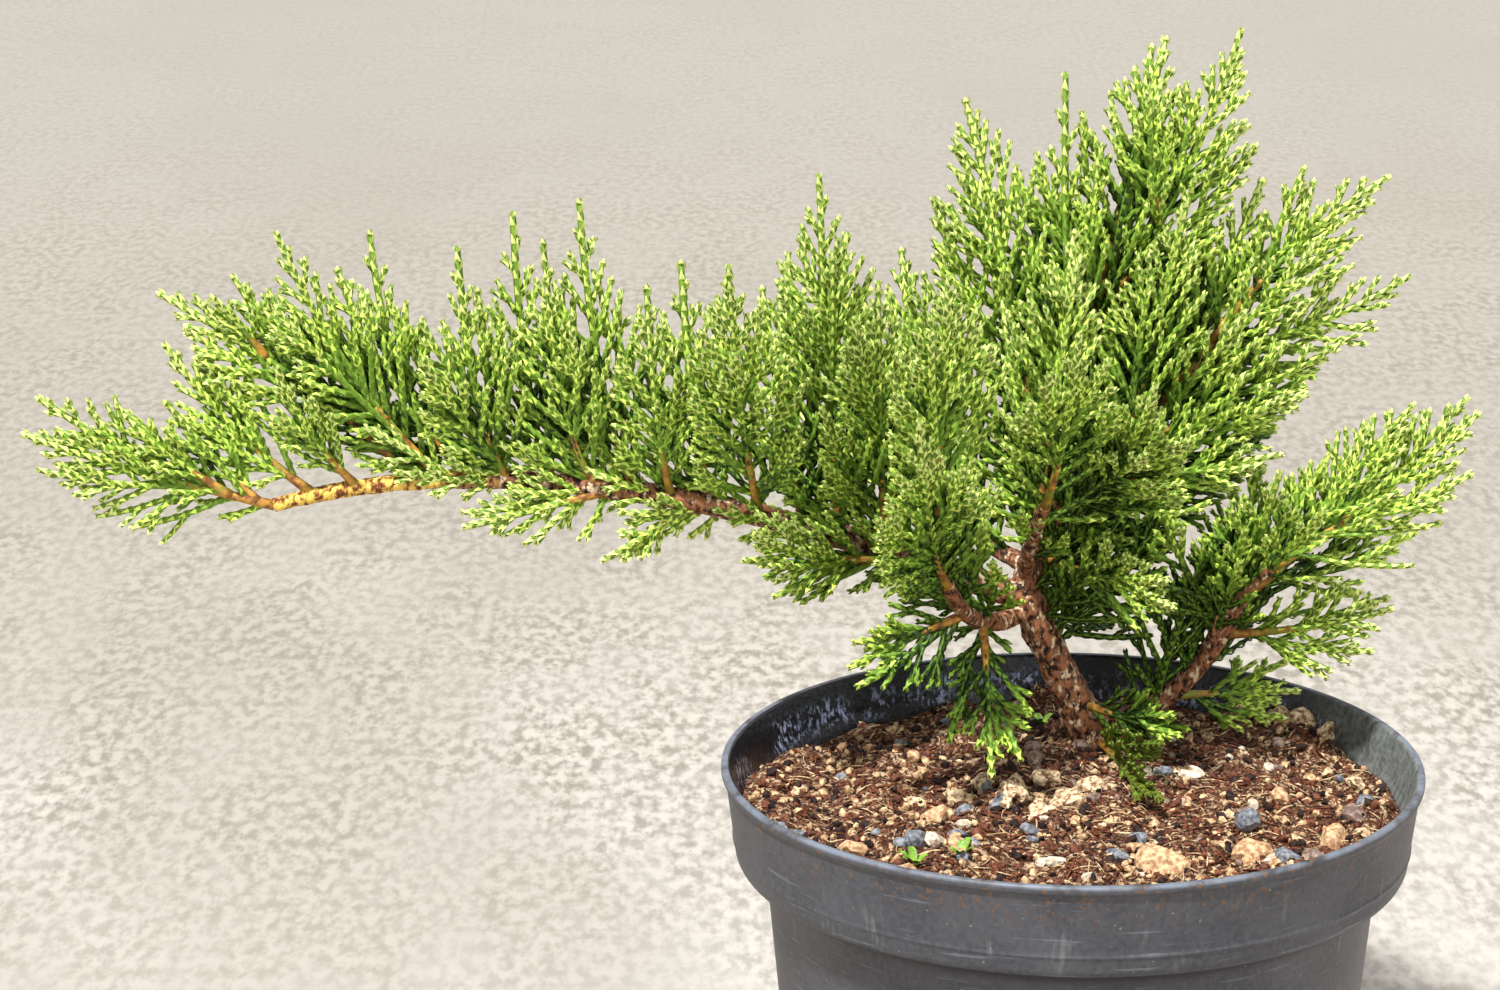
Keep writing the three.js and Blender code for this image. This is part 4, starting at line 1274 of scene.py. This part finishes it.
class Paint:
    """A material whose colours are laid one over the other through masks, on one fine grain."""

    def __init__(self, name, roughness, specular, grain_size, detail, **noise):
        self.material = bpy.data.materials.new(name)
        self.material.use_nodes = True
        self.tree = self.material.node_tree
        self.shader = self.tree.nodes["Principled BSDF"]
        self.shader.inputs["Roughness"].default_value = roughness
        self.shader.inputs["Specular IOR Level"].default_value = specular
        self.place = self.tree.nodes.new("ShaderNodeTexCoord").outputs["Object"]
        self.base = None
        self.grain = self.noise(grain_size, detail, **noise)

    def feed(self, socket, value):
        if isinstance(value, bpy.types.NodeSocket):
            self.tree.links.new(value, socket)
        else:
            socket.default_value = value

    def new(self, kind, **inputs):
        node = self.tree.nodes.new(kind)
        for name, value in inputs.items():
            self.feed(node.inputs[name.replace("_", " ")], value)
        return node

    def scaled(self, scale):
        return self.new("ShaderNodeMapping", Vector=self.place, Scale=scale).outputs["Vector"]

    def noise(self, size, detail, stretch=(1, 1, 1), harsh=0.55):
        """Noise with features about size millimetres across."""
        place = self.scaled(stretch)
        scale = 1 / (size * MM)
        node = self.new("ShaderNodeTexNoise", Vector=place, Scale=scale, Detail=detail, Roughness=harsh)
        return node.outputs["Fac"]

    def between(self, value, low, high):
        """0 below low, 1 above high, and smooth between."""
        node = self.new("ShaderNodeMapRange", Value=value, From_Min=low, From_Max=high)
        node.interpolation_type = "SMOOTHSTEP"
        return node.outputs["Result"]

    def spots(self, size, detail, low, high, **noise):
        """A mask of noise: 0 where it is below low, and 1 where it is above high."""
        return self.between(self.noise(size, detail, **noise), low, high)

    def combine(self, operation, a, b):
        node = self.tree.nodes.new("ShaderNodeMath")
        node.operation = operation
        self.feed(node.inputs[0], a)
        self.feed(node.inputs[1], b)
        return node.outputs[0]

    def times(self, a, b):
        return self.combine("MULTIPLY", a, b)

    def blend(self, mask, under, over):
        """A colour from under to over."""
        node = self.tree.nodes.new("ShaderNodeMix")
        node.data_type = "RGBA"
        for socket, value in zip((0, 6, 7), (mask, under, over)):
            self.feed(node.inputs[socket], linear(value) if isinstance(value, tuple) else value)
        return node.outputs[2]

    def ground(self, low, high, dark, light):
        """The first two colours, dark where the grain is low and light where it is high."""
        self.base = self.blend(self.between(self.grain, low, high), dark, light)

    def coat(self, mask, colour, strength=1):
        """One more colour over the ones so far, where the mask lets it."""
        self.base = self.blend(self.times(mask, strength), self.base, colour)

    def axes(self):
        """The part's own x, y and z in millimetres."""
        node = self.new("ShaderNodeSeparateXYZ", Vector=self.scaled((1 / MM,) * 3))
        return [node.outputs[name] for name in "XYZ"]

    def finish(self, strength, depth):
        """The material, with a bump of the grain whose full height is depth millimetres."""
        if self.base is not None:
            self.feed(self.shader.inputs["Base Color"], self.base)
        bump = self.new("ShaderNodeBump", Height=self.grain, Strength=strength, Distance=depth * MM)
        self.feed(self.shader.inputs["Normal"], bump.outputs["Normal"])
        return self.material


def foliage_material(name, colour):
    """One plain green, with a fine waxy bump."""
    paint = Paint(name, 0.5, 0.28, 0.6, 3)
    paint.shader.inputs["Base Color"].default_value = linear(colour)
    return paint.finish(0.3, 0.15)


def seedling_material():
    paint = Paint("seedling_leaf", 0.45, 0.4, 1.5, 4)
    paint.ground(0.35, 0.65, (0.30, 0.45, 0.12), (0.52, 0.66, 0.22))
    return paint.finish(0.4, 0.2)


def stem_wood_material():
    """Orange-brown stems with green patches."""
    paint = Paint("stem_wood", 0.6, 0.35, 2.2, 4)
    paint.ground(0.35, 0.65, (0.46, 0.28, 0.14), (0.76, 0.56, 0.22))
    paint.coat(paint.spots(9, 2, 0.5, 0.7), (0.50, 0.52, 0.18))
    return paint.finish(0.6, 0.3)


def bark_material():
    """Flaky grey-brown bark on old wood, and orange to yellow on the young ends."""
    paint = Paint("bark_skin", 0.75, 0.3, 1.3, 5, stretch=LENGTHWISE)
    paint.ground(0.38, 0.58, (0.14, 0.07, 0.05), (0.58, 0.38, 0.25))
    paint.coat(paint.spots(1.6, 5, 0.55, 0.63, stretch=LENGTHWISE), (0.82, 0.73, 0.60))
    x, _, z = paint.axes()
    far_left = paint.between(x, *YOUNG_FROM_LEFT)
    high = paint.times(paint.between(z, *YOUNG_FROM_HEIGHT), paint.between(x, *YOUNG_RIGHT_OF))
    youth = paint.combine("MAXIMUM", far_left, paint.times(high, 0.75))
    patches = paint.times(paint.noise(6, 3), 0.9)
    young = paint.blend(paint.between(paint.grain, 0.40, 0.58), (0.42, 0.21, 0.10), (0.92, 0.76, 0.36))
    paint.coat(paint.between(paint.combine("ADD", youth, patches), 0.75, 1.45), young)
    return paint.finish(0.9, 0.7)


def pot_material():
    """Charcoal plastic with scuffs, dried streaks and dust, paler and bluer along the lip's top edge, and a
    painted shadow under the band.
    """
    paint = Paint("pot_plastic", 0.5, 0.4, 1.4, 6)
    paint.ground(0.3, 0.7, (0.21, 0.21, 0.23), (0.27, 0.27, 0.29))
    paint.coat(paint.spots(24, 4, 0.4, 0.65), (0.36, 0.36, 0.38), 0.3)
    paint.coat(paint.spots(2.6, 5, 0.62, 0.74, stretch=STREAKS), (0.60, 0.59, 0.58), 0.18)
    paint.coat(paint.spots(2.6, 6, 0.60, 0.70, stretch=SCUFFS), (0.54, 0.56, 0.60), 0.28)
    paint.coat(paint.spots(1.1, 2, 0.71, 0.75), (0.62, 0.58, 0.54), 0.5)
    z = paint.axes()[2]
    under_lip = paint.between(z, POT_HEIGHT - 13, POT_HEIGHT - 4)
    paint.coat(paint.times(under_lip, paint.spots(1.6, 4, 0.58, 0.64)), (0.42, 0.30, 0.21), 0.8)
    # Painted shadow: a thin near-black line on the body just under the band's overhang.
    in_step = paint.between(z, BAND_FOOT - 0.1, BAND_FOOT - 0.7)
    painted_shadow_under_band = paint.times(paint.between(z, BAND_FOOT - 6.3, BAND_FOOT - 2.8), in_step)
    paint.coat(painted_shadow_under_band, (0.05, 0.05, 0.055), 0.85)
    # Paler and bluer along the lip's top edge, in patches.
    lip = paint.between(z, POT_HEIGHT - 1.2, POT_HEIGHT - 0.4)
    paint.coat(paint.times(lip, paint.spots(7, 5, 0.3, 0.6)), (0.52, 0.56, 0.62), 0.5)
    return paint.finish(0.3, 0.2)


def pot_inside_material():
    """The inside wall: damp, black and glossy to the back left, where the black is partly painted shade and
    bears painted reflections; dry grey-green on the right.
    """
    paint = Paint("pot_inside", 0.5, 0.5, 1.6, 6)
    paint.ground(0.35, 0.65, (0.33, 0.35, 0.34), (0.45, 0.46, 0.45))
    paint.coat(paint.spots(3, 5, 0.55, 0.66, stretch=(1, 1, 0.08)), (0.16, 0.16, 0.17), 0.5)
    x, y, z = paint.axes()
    side = paint.combine("ADD", paint.times(x, WET_AND_SHADE_WAY[0]), paint.times(y, WET_AND_SHADE_WAY[1]))
    # Damp and black to the back left: the gloss is the water's, and the black is partly painted shade.
    wet_and_painted_shade = paint.between(side, *WET_AND_SHADE_FROM)
    black = paint.blend(paint.between(paint.grain, 0.4, 0.7), (0.06, 0.06, 0.075), (0.13, 0.13, 0.15))
    below_lip = paint.between(z, POT_HEIGHT - 2.5, POT_HEIGHT - 6.5)
    band = paint.times(paint.between(z, POT_HEIGHT - 13, POT_HEIGHT - 9), below_lip)
    # Painted reflections: bluish-white patches of sky on the black, in a band below the lip.
    painted_reflection_spots = paint.spots(1.5, 6, 0.50, 0.60, stretch=LENGTHWISE, harsh=0.7)
    painted_reflection = paint.times(paint.times(band, painted_reflection_spots), paint.spots(16, 2, 0.42, 0.58))
    black = paint.blend(paint.times(painted_reflection, 0.85), black, (0.66, 0.71, 0.84))
    paint.coat(wet_and_painted_shade, black)
    gloss = paint.new("ShaderNodeMapRange", Value=wet_and_painted_shade, To_Min=0.62, To_Max=0.2)
    paint.feed(paint.shader.inputs["Roughness"], gloss.outputs["Result"])
    return paint.finish(0.5, 0.5)


def soil_material():
    """Peat: reddish brown, darkest in its hollows, partly its own tone and partly painted shade, with pale
    fibrous specks.
    """
    paint = Paint("soil_peat", 0.9, 0.2, 1, 6, harsh=0.7)
    # Partly painted shade: the peat is darkest where the grain, which also raises the bump, is low.
    paint.ground(0.42, 0.60, (0.09, 0.04, 0.03), (0.54, 0.35, 0.25))
    paint.coat(paint.spots(1.7, 5, 0.53, 0.60, harsh=0.7), (0.84, 0.73, 0.58), 0.85)
    paint.coat(paint.spots(9, 4, 0.52, 0.68), (0.32, 0.16, 0.10), 0.5)
    return paint.finish(1, 1.2)


def stone_material(name, light, dark):
    paint = Paint(name, 0.7, 0.3, 1.2, 5)
    paint.ground(0.36, 0.64, dark, light)
    return paint.finish(0.6, 0.4)


# Stage


def floor_material():
    """Pale concrete and gravel, smoother and browner away from the pot, and paler again far off."""
    paint = Paint("floor_pale", 0.85, 0.2, 4, 3, stretch=AWAY)
    paint.ground(0.34, 0.64, (0.50, 0.48, 0.44), (0.70, 0.675, 0.64))
    paint.coat(paint.spots(40, 3, 0.4, 0.62, stretch=AWAY), (0.67, 0.65, 0.62), 0.45)
    y = paint.axes()[1]
    paint.coat(paint.between(y, 400, 0), (0.73, 0.71, 0.68), 0.7)
    paint.coat(paint.between(y, 300, 750), (0.53, 0.508, 0.465), 0.6)
    paint.coat(paint.spots(260, 3, 0.45, 0.62, stretch=AWAY), (0.53, 0.507, 0.465), 0.4)
    paint.coat(paint.between(y, 900, 1700), (0.58, 0.56, 0.53), 0.6)
    return paint.finish(0.3, 1)


def make_stage():
    mesh = bpy.data.meshes.new("floor")
    corners = [(x * FLOOR_REACH, y * FLOOR_REACH, 0) for x, y in ((-1, -1), (1, -1), (1, 1), (-1, 1))]
    mesh.from_pydata(corners, [], [(0, 1, 2, 3)])
    mesh.materials.append(floor_material())
    add_object("floor", mesh)


def make_light(name, kind, strength, way, place=(0, 0, 0)):
    """A light that shines in the given way."""
    light = bpy.data.lights.new(name, kind)
    light.energy = strength
    lamp = add_object(name, light)
    lamp.location = place
    lamp.rotation_euler = Vector(way).to_track_quat("-Z", "Y").to_euler()
    return light


def make_lights():
    make_light("key", "SUN", SUN_STRENGTH, SUN_WAY).angle = SUN_ANGLE
    fill = make_light("fill", "AREA", FILL_WATTS, FILL_WAY, FILL_PLACE)
    fill.shape = "DISK"
    fill.size = FILL_SIZE
    world = bpy.data.worlds.new("studio")
    world.use_nodes = True
    sky = world.node_tree.nodes["Background"]
    sky.inputs["Color"].default_value = (1, 1, 1, 1)
    sky.inputs["Strength"].default_value = SKY_STRENGTH
    bpy.context.scene.world = world
    bpy.context.scene.view_settings.view_transform = "Standard"


def make_camera():
    camera = bpy.data.cameras.new("camera")
    camera.sensor_width = SENSOR_WIDTH
    camera.lens = FOCAL_LENGTH
    camera.clip_start = 0.05
    camera.clip_end = 30
    pitch = Matrix.Rotation(math.pi / 2 - CAMERA_PITCH, 4, "X")
    roll = Matrix.Rotation(-CAMERA_ROLL, 4, "Z")
    holder = add_object("camera", camera)
    holder.matrix_world = Matrix.Translation(Vector(CAMERA_EYE) * MM) @ pitch @ roll
    bpy.context.scene.camera = holder


LIMB_PLAN = plan_limbs()
SPRAY_PLAN = plan_sprays(LIMB_PLAN)
MOUNDS = SOIL_MOUNDS + plan_clods(LIMB_PLAN, SPRAY_PLAN)

make_camera()
make_stage()
make_lights()
make_pot()
make_soil()
make_soil_cover()
make_seedlings()
make_bark(LIMB_PLAN)
make_foliage(LIMB_PLAN, SPRAY_PLAN)

bpy.context.view_layer.update()
